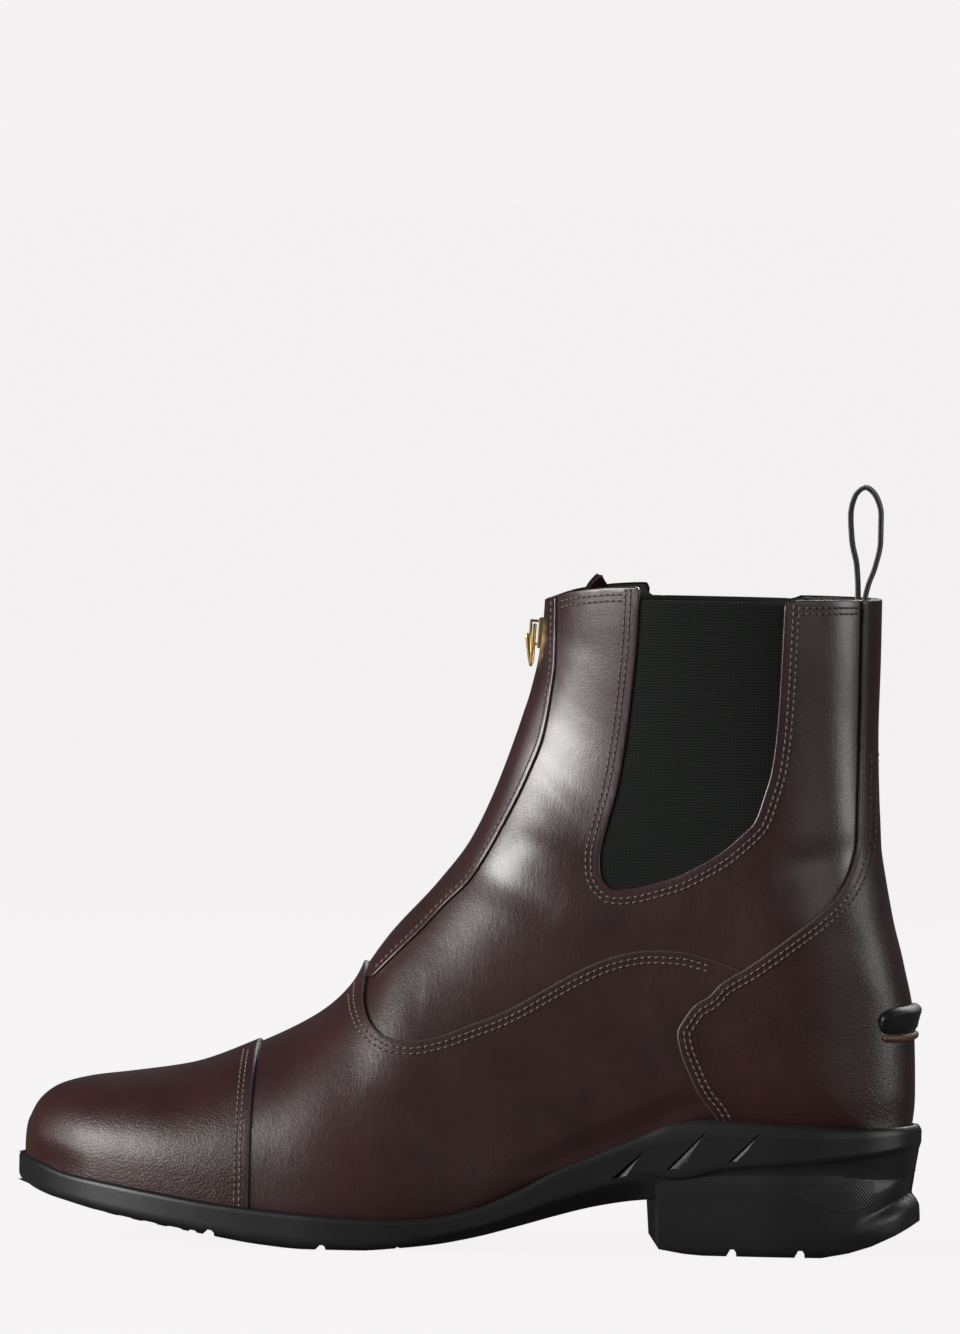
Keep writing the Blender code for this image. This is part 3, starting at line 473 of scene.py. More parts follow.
def prism(points, low=-FAR, high=FAR):
    """A closed prism along Y whose side view is the outline of (x, z) points."""
    bm = raised_form([(x, low, z) for x, z in points], (0, high - low, 0))
    bmesh.ops.triangulate(bm, faces=bm.faces)
    bmesh.ops.recalc_face_normals(bm, faces=bm.faces)
    for face in bm.faces:
        face.material_index = 1
    return bm


SKIN_AND_CUT = [bpy.data.materials.new("skin"), bpy.data.materials.new("cut")]


def as_object(bm):
    mesh = bpy.data.meshes.new("form")
    bm.to_mesh(mesh)
    bm.free()
    for finish in SKIN_AND_CUT:
        mesh.materials.append(finish)
    form = bpy.data.objects.new("form", mesh)
    bpy.context.scene.collection.objects.link(form)
    return form


def cut(bm, *steps):
    """The form after each (operation, cutter) step, as a bmesh."""
    form = as_object(bm)
    for operation, cutter in steps:
        tool = as_object(cutter)
        modifier = form.modifiers.new("cut", "BOOLEAN")
        modifier.operation = operation
        modifier.solver = "MANIFOLD"
        modifier.object = tool
        depsgraph = bpy.context.evaluated_depsgraph_get()
        form.data = bpy.data.meshes.new_from_object(form.evaluated_get(depsgraph))
        form.modifiers.clear()
        bpy.data.objects.remove(tool)
    done = bmesh.new()
    done.from_mesh(form.data)
    bpy.data.objects.remove(form)
    return done


def open_skin(bm):
    """Keep only the outer skin of a cut form, with a clean border."""
    cut_faces = [face for face in bm.faces if face.material_index == 1]
    bmesh.ops.delete(bm, geom=cut_faces, context="FACES")
    bmesh.ops.remove_doubles(bm, verts=bm.verts, dist=SKIN_WELD)
    bmesh.ops.dissolve_degenerate(bm, edges=bm.edges, dist=0.00002)
    return bm


# A cut edge of leather in section: how far out and how far down, as shares of its rounding
EDGE_SECTION = [(0.38, 0.08), (0.71, 0.29), (0.92, 0.62), (1.0, 1.0)]


def turn_edges(bm, radius, depth, finish=1):
    """Round the open border of a skin and take it down by `depth`, as a cut leather edge."""
    bm.normal_update()
    border = [edge for edge in bm.edges if edge.is_boundary]
    outward, base = {}, {}
    for edge in border:
        face = edge.link_faces[0]
        start, end = edge.verts
        out = (end.co - start.co).cross(face.normal)
        if out.dot((start.co + end.co) / 2 - face.calc_center_median()) < 0:
            out.negate()
        out.normalize()
        for vert in edge.verts:
            outward[vert] = outward.get(vert, Vector()) + out
            base[vert] = (vert.co.copy(), vert.normal.copy())
    for vert in outward:
        outward[vert].normalize()
    section = [(out * radius, -down * radius) for out, down in EDGE_SECTION]
    if depth > radius:
        section.append((radius, -depth))
    for out, down in section:
        raised = bmesh.ops.extrude_edge_only(bm, edges=border)["geom"]
        moved = [item for item in raised if isinstance(item, bmesh.types.BMVert)]
        for face in (item for item in raised if isinstance(item, bmesh.types.BMFace)):
            face.material_index = finish
        old_ring = set(outward)
        for vert in moved:
            others = [edge.other_vert(vert) for edge in vert.link_edges]
            old = next(other for other in others if other in old_ring)
            outward[vert], base[vert] = outward[old], base[old]
            spot, normal = base[vert]
            vert.co = spot + outward[vert] * out + normal * down
        border = [edge for edge in bm.edges if edge.is_boundary]
    bmesh.ops.recalc_face_normals(bm, faces=bm.faces)
    return bm


MIDDLE = Vector((0.03, 0.0, 0.08))


def keep_outward(bm):
    """Turn an open skin's faces away from the middle of the boot."""
    bm.normal_update()
    if sum(face.normal.dot(face.calc_center_median() - MIDDLE) * face.calc_area() for face in bm.faces) < 0:
        bmesh.ops.reverse_faces(bm, faces=bm.faces)
    return bm


def below_collar(drop=0.0):
    line = rounded(side_points(COLLAR_LINE), 60) - [0, drop]
    ends = [(FAR, line[-1][1]), (FAR, -FAR), (-FAR, -FAR), (-FAR, line[0][1])]
    return prism([*line, *ends])


def above_feather(drop=LIP_HEIGHT):
    xs = np.linspace(along_x(-0.02), along_x(1.03), 90)
    line = list(zip(xs, lip_height(xs) - drop))
    return prism(line + [(xs[-1], FAR), (xs[0], FAR)])


def side_prism(points, side, start=0.0):
    """A prism from `start` out through one side of the boot."""
    low, high = sorted((side * start, side * FAR))
    return prism(points, low, high)


def gore_opening(side, spare=0.0):
    line = beside(rounded(side_points(GORE_EDGE), 120), -EDGE_ROUND + spare)
    return side_prism(line, side)


# How far the shade painted beside a seam and above the sole's edge reaches
SEAM_SHADE = 0.0016
FEATHER_SHADE = 0.0045


def shade_seams(bm):
    """Store on each point how near it lies to a stitch, from 1 there down to 0, as the weight of the shade
    painted beside seams.
    """
    layer = bm.verts.layers.float.new("painted_seam_shade")
    tree = KDTree(len(SEAM_SPOTS))
    for i, spot in enumerate(SEAM_SPOTS):
        tree.insert(spot, i)
    tree.balance()
    for vert in bm.verts:
        away = tree.find(vert.co)[2]
        vert[layer] = math.exp(-((away / SEAM_SHADE) ** 2))


def shade_feather(bm):
    """Store on each point how near it lies to the sole's edge, as the weight of the shade painted there."""
    layer = bm.verts.layers.float.new("painted_feather_shade")
    heights = np.array([vert.co.z for vert in bm.verts]) - lip_height([vert.co.x for vert in bm.verts])
    for vert, height in zip(bm.verts, heights):
        vert[layer] = math.exp(-max(height, 0.0) / FEATHER_SHADE)


def surface_line(tree, line, side, lift=0.0):
    """A line in side view laid on a skin from its outer (-1) or inner (1) side."""
    laid = []
    for x, z in line:
        hit, normal, _, _ = tree.ray_cast(Vector((x, side * FAR, z)), Vector((0, -side, 0)))
        if hit:
            laid.append((hit + normal * lift, normal))
    return laid


# A seam that jumps further than this starts again
LINE_BREAK = 0.006


def spaced(laid, step):
    """Places at even steps along a laid line, each with its direction and normal."""
    places, carried = [], 0.0
    for (a, normal), (b, _) in zip(laid, laid[1:]):
        length = (b - a).length
        if length > LINE_BREAK or length < 1e-7:
            carried = 0.0
            continue
        at = carried
        while at < length:
            places.append((a.lerp(b, at / length), (b - a) / length, normal))
            at += step
        carried = at - length
    return places


STITCH_STEP = 0.0022
STITCH_LENGTH = 0.0019
THREAD = 0.00031
STITCH_TURN = 0.12
HOLE_RADIUS = 0.0005


def stitch_form():
    """One stitch, lying along X, bent down into its holes."""
    bm = bmesh.new()
    bmesh.ops.create_cone(
        bm, cap_ends=True, segments=6, radius1=THREAD, radius2=THREAD, depth=STITCH_LENGTH
    )
    along = [edge for edge in bm.edges if abs(edge.verts[0].co.z - edge.verts[1].co.z) > 1e-6]
    bmesh.ops.subdivide_edges(bm, edges=along, cuts=3)
    bmesh.ops.rotate(bm, verts=bm.verts, matrix=Matrix.Rotation(math.pi / 2, 3, "Y"))
    for vert in bm.verts:
        share = 2 * vert.co.x / STITCH_LENGTH
        vert.co.y *= 1 - 0.25 * share**2
        vert.co.z = vert.co.z * (1 - 0.25 * share**2) - THREAD * 1.5 * share**4 + THREAD * 0.25
    return bm


def hole_form():
    """A small dent where the thread goes in, coloured near-black as painted shade in the hole."""
    bm = bmesh.new()
    bmesh.ops.create_icosphere(bm, subdivisions=1, radius=HOLE_RADIUS)
    bmesh.ops.scale(bm, vec=(0.8, 0.9, 0.28), verts=bm.verts)
    return bm


def repeated(name, form, places, finish, turn=0.0):
    """Copies of a small form at places along a seam, joined into one piece."""
    source = bpy.data.meshes.new(name)
    form.to_mesh(source)
    form.free()
    bm = bmesh.new()
    for spot, ahead, normal in places:
        ahead = (ahead - normal * ahead.dot(normal)).normalized()
        across = normal.cross(ahead)
        matrix = Matrix((ahead, across, normal)).transposed().to_4x4()
        matrix.translation = spot
        first = len(bm.verts)
        bm.from_mesh(source)
        bm.verts.ensure_lookup_table()
        new = bm.verts[first:]
        bmesh.ops.transform(bm, matrix=matrix @ Matrix.Rotation(turn, 4, "Z"), verts=new)
    bpy.data.meshes.remove(source)
    make_piece(name, bm, [finish])


# Finishes


def new_finish(name):
    finish = bpy.data.materials.new(name)
    finish.use_nodes = True
    shader = finish.node_tree.nodes["Principled BSDF"]
    return finish, finish.node_tree, shader


def texture(tree, kind, scale, stretch=(1, 1, 1), **values):
    """A texture on Object coordinates with its scale per metre."""
    place = tree.nodes.new("ShaderNodeTexCoord")
    mapping = tree.nodes.new("ShaderNodeMapping")
    mapping.inputs["Scale"].default_value = stretch
    tree.links.new(place.outputs["Object"], mapping.inputs["Vector"])
    node = tree.nodes.new(kind)
    node.inputs["Scale"].default_value = scale
    for key, value in values.items():
        if hasattr(node, key):
            setattr(node, key, value)
        else:
            node.inputs[key].default_value = value
    tree.links.new(mapping.outputs["Vector"], node.inputs["Vector"])
    return node


def noise(tree, scale, detail, roughness, stretch=(1, 1, 1)):
    kind = "ShaderNodeTexNoise"
    return texture(tree, kind, scale, stretch, Detail=detail, Roughness=roughness).outputs["Fac"]


def waves(tree, scale, direction, distortion):
    kind = "ShaderNodeTexWave"
    return texture(tree, kind, scale, bands_direction=direction, Distortion=distortion).outputs["Fac"]


def ramp(tree, source, low, high):
    """Black below `low`, rising to white at `high`."""
    node = tree.nodes.new("ShaderNodeValToRGB")
    for element, place in zip(node.color_ramp.elements, (low, high)):
        element.position = place
    tree.links.new(source, node.inputs["Fac"])
    return node.outputs["Color"]


def feed(tree, value, socket):
    """Give a socket a link, a plain number or a plain colour."""
    if isinstance(value, bpy.types.NodeSocket):
        tree.links.new(value, socket)
    else:
        socket.default_value = (*value, 1.0) if isinstance(value, tuple) else value


def mix(tree, share, first, second):
    """Mix two colours, each a socket or a plain colour."""
    node = tree.nodes.new("ShaderNodeMix")
    node.data_type = "RGBA"
    for value, index in ((share, 0), (first, 6), (second, 7)):
        feed(tree, value, node.inputs[index])
    return node.outputs[2]


def maths(tree, operation, *values):
    node = tree.nodes.new("ShaderNodeMath")
    node.operation = operation
    for value, socket in zip(values, node.inputs):
        feed(tree, value, socket)
    return node.outputs[0]


def bump(tree, shader, layers):
    """Stack bumps of (height socket, distance, strength) onto the shader."""
    previous = None
    for height, distance, strength in layers:
        node = tree.nodes.new("ShaderNodeBump")
        node.inputs["Distance"].default_value = distance
        node.inputs["Strength"].default_value = strength
        tree.links.new(height, node.inputs["Height"])
        if previous:
            tree.links.new(previous, node.inputs["Normal"])
        previous = node.outputs["Normal"]
    tree.links.new(previous, shader.inputs["Normal"])


def attribute(tree, name):
    node = tree.nodes.new("ShaderNodeAttribute")
    node.attribute_name = name
    return node.outputs["Fac"]


# Colours of painted shade, beside the seams and along the sole's edge
SEAM_PAINTED_SHADE = (0.016, 0.008, 0.008)
FEATHER_PAINTED_SHADE = (0.020, 0.005, 0.004)


def with_painted_shade(tree, colour, mark, strength, dark):
    """Paint shade into a colour where a mark stored on the points says so."""
    return mix(tree, maths(tree, "MULTIPLY", attribute(tree, mark), strength), colour, dark)


def leather(name, light, dark, pebble, roughness, coat):
    """Polished leather: mottled colour, fine grain and wrinkles, with shade painted beside the seams and
    along the sole's edge.
    """
    finish, tree, shader = new_finish(name)
    colour = mix(tree, ramp(tree, noise(tree, 38, 3.0, 0.6), 0.3, 0.7), dark, light)
    colour = mix(tree, maths(tree, "MULTIPLY", noise(tree, 1500, 2.0, 0.6), 0.25), colour, dark)
    # Painted shade beside the stitches and along the sole's edge
    colour = with_painted_shade(tree, colour, "painted_seam_shade", 0.35, SEAM_PAINTED_SHADE)
    colour = with_painted_shade(tree, colour, "painted_feather_shade", 0.55, FEATHER_PAINTED_SHADE)
    tree.links.new(colour, shader.inputs["Base Color"])
    rough = maths(tree, "MULTIPLY_ADD", noise(tree, 60, 4.0, 0.6), 0.16, roughness - 0.08)
    tree.links.new(rough, shader.inputs["Roughness"])
    shader.inputs["Coat Weight"].default_value = coat
    shader.inputs["Coat Roughness"].default_value = 0.28
    shader.inputs["Specular IOR Level"].default_value = 0.5 - 0.15 * pebble
    folds = noise(tree, 55, 3.0, 0.5, (1.0, 1.0, 0.7))
    wrinkles = noise(tree, 420, 3.0, 0.55, (1.3, 1.3, 2.6) if pebble else (2.2, 2.2, 0.55))
    cells = texture(tree, "ShaderNodeTexVoronoi", 900, feature="DISTANCE_TO_EDGE")
    edges = ramp(tree, cells.outputs["Distance"], 0.0, 0.16)
    layers = [
        (folds, 0.0014, 0.22),
        (wrinkles, 0.0004, 0.16 + 0.08 * pebble),
        (edges, 0.0001, 0.16 + 0.14 * pebble),
    ]
    bump(tree, shader, layers)
    return finish


def shaded(tree, shader, pattern, colour, shade):
    """Colour a finish from `shade` of its colour up to the full one, by a pattern."""
    darker = tuple(value * shade for value in colour)
    tree.links.new(mix(tree, pattern, darker, colour), shader.inputs["Base Color"])


def moulded_rubber(name, colour, roughness, ribs=0):
    finish, tree, shader = new_finish(name)
    cloud = noise(tree, 30, 4.0, 0.6)
    shaded(tree, shader, cloud, colour, 0.6)
    rough = maths(tree, "MULTIPLY_ADD", cloud, 0.14, roughness - 0.07)
    tree.links.new(rough, shader.inputs["Roughness"])
    layers = [(cloud, 0.0008, 0.1), (noise(tree, 2200, 2.0, 0.6), 0.00008, 0.35)]
    if ribs:
        lines = texture(tree, "ShaderNodeTexWave", ribs, (1.0, 0.0, 0.8), bands_direction="DIAGONAL")
        layers.append((lines.outputs["Fac"], 0.0002, 0.35))
    bump(tree, shader, layers)
    shader.inputs["Specular IOR Level"].default_value = 0.35
    return finish


def ribbed_elastic(name):
    """Elastic with fine ribs across and knitted columns, in a green black."""
    finish, tree, shader = new_finish(name)
    ribs = waves(tree, 345, "Z", 0.0)
    woven = maths(tree, "MULTIPLY", ribs, waves(tree, 260, "X", 0.6))
    fuzz = noise(tree, 1800, 2.0, 0.7)
    colour = mix(tree, ribs, (0.0026, 0.0032, 0.0026), (0.0048, 0.0060, 0.0048))
    colour = mix(tree, maths(tree, "MULTIPLY", fuzz, 0.3), colour, (0.008, 0.010, 0.008))
    tree.links.new(colour, shader.inputs["Base Color"])
    shader.inputs["Roughness"].default_value = 0.85
    shader.inputs["Sheen Weight"].default_value = 0.02
    shader.inputs["Specular IOR Level"].default_value = 0.2
    shader.inputs["Sheen Roughness"].default_value = 0.5
    bump(tree, shader, [(ribs, 0.0003, 0.45), (woven, 0.0002, 0.4), (fuzz, 0.0002, 0.25)])
    return finish


def plain_finish(name, colour, shade, roughness, pattern, relief):
    """A finish whose colour and relief follow one pattern of (scale, detail, roughness)."""
    finish, tree, shader = new_finish(name)
    height = noise(tree, *pattern)
    shaded(tree, shader, height, colour, shade)
    shader.inputs["Roughness"].default_value = roughness
    bump(tree, shader, [(height, *relief)])
    return finish


def leather_edge(name, colour, roughness=0.5):
    return plain_finish(name, colour, 0.55, roughness, (900, 4.0, 0.7), (0.0003, 0.4))


def woven_cloth(name, colour, scale):
    finish, tree, shader = new_finish(name)
    weave = maths(tree, "MAXIMUM", waves(tree, scale, "X", 0.3), waves(tree, scale, "Z", 0.3))
    shaded(tree, shader, weave, colour, 0.45)
    shader.inputs["Roughness"].default_value = 0.9
    bump(tree, shader, [(weave, 0.0003, 0.6)])
    return finish


BURGUNDY = ((0.032, 0.0105, 0.0102), (0.0190, 0.0060, 0.0058))
GRAINED_BURGUNDY = ((0.033, 0.0115, 0.0110), (0.0200, 0.0068, 0.0062))
SMOOTH_LEATHER = leather("burgundy_leather", *BURGUNDY, 0.0, 0.35, 0.40)
GRAINED_LEATHER = leather("grained_burgundy_leather", *GRAINED_BURGUNDY, 1.0, 0.38, 0.08)
RAW_EDGE = leather_edge("painted_edge", (0.038, 0.029, 0.025))
LIP_EDGE = leather_edge("raw_lip", (0.110, 0.045, 0.024))
LINING = woven_cloth("lining_cloth", (0.015, 0.013, 0.012), 300)
ELASTIC = ribbed_elastic("ribbed_elastic")
RUBBER = moulded_rubber("black_rubber", (0.0095, 0.0092, 0.0096), 0.42)
RIBBED_RUBBER = moulded_rubber("ribbed_rubber", (0.0085, 0.0082, 0.0086), 0.46, 620)
WEBBING = woven_cloth("black_webbing", (0.012, 0.012, 0.013), 520)
SELVEDGE = woven_cloth("grey_selvedge", (0.150, 0.150, 0.150), 520)
BRASS = plain_finish("worn_brass", (0.78, 0.58, 0.30), 0.6, 0.28, (700, 4.0, 0.6), (0.0001, 0.15))
BRASS.node_tree.nodes["Principled BSDF"].inputs["Metallic"].default_value = 1.0
THREAD_FINISH = plain_finish(
    "brown_thread", (0.150, 0.090, 0.078), 0.4, 0.55, (2600, 2.0, 0.6), (0.0002, 0.5)
)
# The needle holes' near-black colour is painted shade
HOLE_PAINTED_SHADE = leather_edge("needle_hole_painted_shade", (0.006, 0.003, 0.003), 0.8)


# Leather pieces


def facing_line():
    return rounded(side_points(FACING_SEAM))


def throat_slit(width):
    line = facing_line()
    ends = [(-FAR, line[-1][1]), (-FAR, line[0][1])]
    return prism([*line, *ends], -width / 2, width / 2)


def leather_piece(bm, name, finishes, slot, node, depth, rounding=EDGE_ROUND):
    """Turn a skin's border down by `depth` and make the skin the piece for a solid."""
    turn_edges(bm, rounding, depth, len(finishes) - 1)
    finish_skin(bm, name, finishes, slot, node)


def finish_skin(bm, name, materials, slot, *nodes):
    shade_seams(bm)
    shade_feather(bm)
    piece = make_piece(name, bm, materials)
    if nodes:
        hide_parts(*nodes)
    return piece


def build_quarters():
    """The two quarters and the front of the shaft, in smooth leather."""
    bm = cut(
        last_form(0.0),
        ("INTERSECT", above_feather()),
        ("INTERSECT", below_collar(EDGE_ROUND)),
        ("DIFFERENCE", gore_opening(-1)),
        ("DIFFERENCE", gore_opening(1)),
        ("DIFFERENCE", throat_slit(ZIP_OPENING + 2 * EDGE_ROUND)),
    )
    leather_piece(open_skin(bm), "quarters", [SMOOTH_LEATHER], "smooth_leather", "upper", WALL)


# How far the tongue's tip stands off the instep, and the heights between which it rises
TONGUE_LIFT = 0.0036
TONGUE_FOOT = 0.0800
TONGUE_TIP = 0.0955
CAP_LAP = 0.004
CAP_SWELL = 0.0003
CAP_ROUND = 0.0007
FACING_FOOT = 0.001


def vamp_outline():
    top = rounded(side_points(VAMP_EDGE)[1:])
    first = side_points(VAMP_EDGE)[0]
    cap = along_x(CAP_SEAM_ALONG) - CAP_LAP
    line = beside(top, EDGE_ROUND)
    return [(cap, -FAR), (cap, first[1]), first, *line, (line[-1][0], -FAR)]


def raise_tongue(bm):
    """Stand the tip of the vamp's tongue off the instep."""
    bm.normal_update()
    for vert in bm.verts:
        share = (vert.co.z - TONGUE_FOOT) / (TONGUE_TIP - TONGUE_FOOT)
        if share > 0 and vert.co.x < along_x(0.45):
            vert.co += Vector((-1.0, 0.0, 0.35)) * TONGUE_LIFT * min(share, 1.0) ** 1.7


def build_vamp():
    bm = cut(
        last_form(VAMP_FACE),
        ("INTERSECT", above_feather()),
        ("INTERSECT", prism(vamp_outline())),
    )
    raise_tongue(open_skin(bm))
    leather_piece(bm, "vamp_leather", [SMOOTH_LEATHER, RAW_EDGE], "smooth_leather", "vamp", VAMP_FACE)


def build_toe_cap():
    edge = along_x(CAP_SEAM_ALONG) - EDGE_ROUND
    outline = [(-FAR, -FAR), (edge, -FAR), (edge, FAR), (-FAR, FAR)]
    bm = cut(
        last_form(CAP_FACE + CAP_SWELL),
        ("INTERSECT", above_feather()),
        ("INTERSECT", prism(outline)),
    )
    finishes = [GRAINED_LEATHER, RAW_EDGE]
    leather_piece(
        open_skin(bm), "toe_cap_leather", finishes, "grained_leather", "toe_cap", CAP_FACE, CAP_ROUND
    )


def build_counter():
    line = beside(rounded(side_points(COUNTER_EDGE), 120), -EDGE_ROUND)
    outline = [*line, (FAR, line[-1][1]), (FAR, line[0][1])]
    bm = cut(
        last_form(COUNTER_FACE),
        ("INTERSECT", above_feather()),
        ("INTERSECT", below_collar(EDGE_ROUND)),
        ("INTERSECT", prism(outline)),
    )
    SEAMS["counter"] = BVHTree.FromBMesh(open_skin(bm))
    finishes = [GRAINED_LEATHER, RAW_EDGE]
    leather_piece(bm, "counter_leather", finishes, "grained_leather", "counter", COUNTER_FACE)


def build_facings():
    line = beside(facing_line(), -EDGE_ROUND)
    foot = line[0][1] + FACING_FOOT
    for name, side in SIDES.items():
        outline = [*line, (-FAR, line[-1][1]), (-FAR, foot)]
        bm = cut(
            last_form(FACING_FACE),
            ("INTERSECT", below_collar(EDGE_ROUND)),
            ("INTERSECT", side_prism(outline, side, ZIP_OPENING / 2 + EDGE_ROUND)),
        )
        piece, node = f"facing_leather_{name}", f"zip_facing_{name}"
        leather_piece(
            open_skin(bm), piece, [SMOOTH_LEATHER], "smooth_leather", node, FACING_FACE + WALL
        )


GORE_LAP = 0.004
GORE_CLOTH = 0.0011
GORE_TOP = 0.9965


def build_gores():
    for name, side in SIDES.items():
        lapped = beside(rounded(side_points(GORE_EDGE), 120), GORE_LAP)
        outline = [(x, min(z, GORE_TOP * BOOT_HEIGHT)) for x, z in lapped]
        bm = cut(last_form(GORE_FACE, False), ("INTERSECT", side_prism(outline, side)))
        open_skin(bm)
        bmesh.ops.solidify(bm, geom=bm.faces, thickness=GORE_CLOTH)
        keep_outward(bm)
        piece = make_piece(f"gore_cloth_{name}", bm, [ELASTIC])
        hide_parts(f"gore_{name}")


def build_lining():
    """The inside of the upper, seen through the collar."""
    bm = cut(
        last_form(-WALL, False),
        ("INTERSECT", above_feather()),
        ("INTERSECT", below_collar(0.0006)),
        ("DIFFERENCE", gore_opening(-1, -0.002)),
        ("DIFFERENCE", gore_opening(1, -0.002)),
        ("DIFFERENCE", throat_slit(ZIP_OPENING)),
    )
    open_skin(bm)
    bmesh.ops.reverse_faces(bm, faces=bm.faces)
    make_piece("lining_cloth", bm, [LINING])


# Stitching

SEAMS = {}
SEAM_ROWS = []
SEAM_SPOTS = []
# How far the vamp's rows draw in round the tongue's tip, and over how many points of its edge
TONGUE_INSET = 0.003
TONGUE_RUN = 7.0


def row(skin, line, side):
    SEAM_ROWS.append((skin, np.asarray(line), side))


def plan_rows():
    vamp = rounded(side_points(VAMP_EDGE)[1:])
    counter = rounded(side_points(COUNTER_EDGE)[1:], 120)
    gore = rounded(side_points(GORE_EDGE), 120)
    facing = facing_line()
    collar = rounded(side_points(COLLAR_LINE), 120)
    cap = along_x(CAP_SEAM_ALONG)
    for side in (-1, 1):
        spread = TONGUE_INSET * np.exp(-np.arange(len(vamp)) / TONGUE_RUN)[:, None]
        for inset in (0.0022, 0.0039):
            row("vamp", beside(vamp, inset + spread)[3:-6], side)
        for inset in (0.0023, 0.0040):
            row("counter", beside(counter, -inset), side)
        for inset in (0.0018, 0.0034):
            row("quarters", beside(gore, inset), side)
        row("facing_outer" if side < 0 else "facing_inner", beside(facing, -0.0014)[2:], side)
        front = collar[(collar[:, 0] > along_x(0.590)) & (collar[:, 0] < along_x(0.672))]
        back = collar[(collar[:, 0] > along_x(0.856)) & (collar[:, 0] < along_x(0.925))]
        for drop in (0.0024, 0.0043):
            row("quarters", front - [0, drop], side)
            row("quarters", back - [0, drop], side)
        for inset in (0.0026, 0.0041):
            zs = np.linspace(0.070, 0.010, 40)
            row("toe_cap", np.column_stack([np.full(40, cap - inset), zs]), side)


def lay_rows():
    """Find each row of stitches on its skin and gather where the needle went."""
    laid_rows = []
    for skin, line, side in SEAM_ROWS:
        laid = surface_line(SEAMS[skin], line, side)
        places = spaced(laid, STITCH_STEP)
        xs = [spot.x for spot, _, _ in places]
        low, high = lip_height(xs) - 0.001, collar_height(xs) - 0.0018
        places = [place for place, a, b in zip(places, low, high) if a < place[0].z < b]
        laid_rows.append((skin, places))
    return laid_rows


def rough_trees():
    """The skins' surfaces before they are cut, to lay the rows on."""
    faces = {
        "quarters": 0.0,
        "vamp": VAMP_FACE,
        "toe_cap": CAP_FACE + CAP_SWELL,
        "counter": COUNTER_FACE,
        "facing_outer": FACING_FACE,
        "facing_inner": FACING_FACE,
    }
    for name, offset in faces.items():
        bm = last_form(offset)
        SEAMS[name] = BVHTree.FromBMesh(bm)
        bm.free()


def build_stitches(laid_rows):
    groups = {}
    for skin, places in laid_rows:
        groups.setdefault(skin.split("_")[0], []).extend(places)
    for name, places in groups.items():
        repeated(f"stitches_{name}", stitch_form(), places, THREAD_FINISH, STITCH_TURN)
        # Dark dots at the needle holes: painted shade
        gaps = [(spot - ahead * STITCH_STEP / 2, ahead, normal) for spot, ahead, normal in places]
        repeated(f"needle_holes_{name}", hole_form(), gaps, HOLE_PAINTED_SHADE)


# Rubber sole

STEP_DEPTH = 0.0032
TROUGH_DEPTH = 0.65
BED_GAP = 0.0025
CREST_ANGLE = math.radians(28)
# Side of the sole: share from tread to lip, then the inset of the forepart, the shank, the
# heel seat's sides and its back as shares of STEP_DEPTH.
SIDE_SECTION = [
    (0.00, 0.62, 1.55, 0.60, 1.25),
    (0.04, 0.34, 1.36, 0.52, 1.02),
    (0.10, 0.14, 1.10, 0.46, 0.80),
    (0.22, 0.03, 0.55, 0.40, 0.60),
    (0.34, 0.00, 0.10, 0.36, 0.40),
    (0.38, 0.00, 0.03, 0.34, 0.32),
    (0.455, 0.00, 0.00, 0.24, 0.20),
    (0.50, 0.00, 0.00, 0.06, 0.05),
    (0.56, 0.00, 0.00, 0.00, 0.00),
    (0.82, 0.00, 0.00, 0.00, 0.00),
    (0.91, 0.05, 0.05, 0.10, 0.10),
    (0.97, 0.20, 0.20, 0.26, 0.26),
    (1.00, 0.42, 0.42, 0.48, 0.48),
]
# Heel block: height share of HEEL_HEIGHT, then the inset of its sides and its back.
HEEL_SECTION = [
    (0.00, 0.60, 0.95),
    (0.03, 0.38, 0.62),
    (0.08, 0.26, 0.36),
    (0.20, 0.17, 0.04),
    (0.27, 0.16, 0.00),
    (0.34, 0.16, 0.05),
    (0.47, 0.18, 0.25),
    (0.55, 0.24, 0.50),
    (0.62, 0.42, 0.90),
]
RIDGE = [(0.70, 0.50), (0.7213, 0.525), (0.7931, 0.652), (0.8725, 0.697), (0.9525, 0.765), (1.003, 0.828)]
VALLEY = [(0.9283, 0.24), (0.9534, 0.318), (0.9697, 0.364), (0.986, 0.418), (0.998, 0.457)]
HEEL_TREAD = [
    (0.650, 0.116),
    (0.745, 0.010),
    (0.765, 0.000),
    (0.895, 0.000),
    (0.925, 0.036),
    (0.950, 0.086),
    (0.975, 0.160),
    (1.030, 0.360),
]
# Slots: foot, head and far foot, each along and height
SLOTS = [
    ((0.6631, 0.551), (0.6983, 0.763), (0.6795, 0.576)),
    ((0.7233, 0.627), (0.7670, 0.921), (0.7398, 0.644)),
    ((0.7902, 0.686), (0.8257, 0.918), (0.8055, 0.714)),
]
SLOT_DEPTH = 0.0010
RIBBED_PATCH = [
    (0.8630, 0.472),
    (0.8928, 0.521),
    (0.9257, 0.555),
    (0.9505, 0.562),
    (0.9510, 0.413),
    (0.9373, 0.359),
    (0.9220, 0.334),
    (0.8877, 0.395),
]
PATCH_FROM = 0.015
PATCH_RISE = 0.00015
PATCH_ROUND = 0.00012
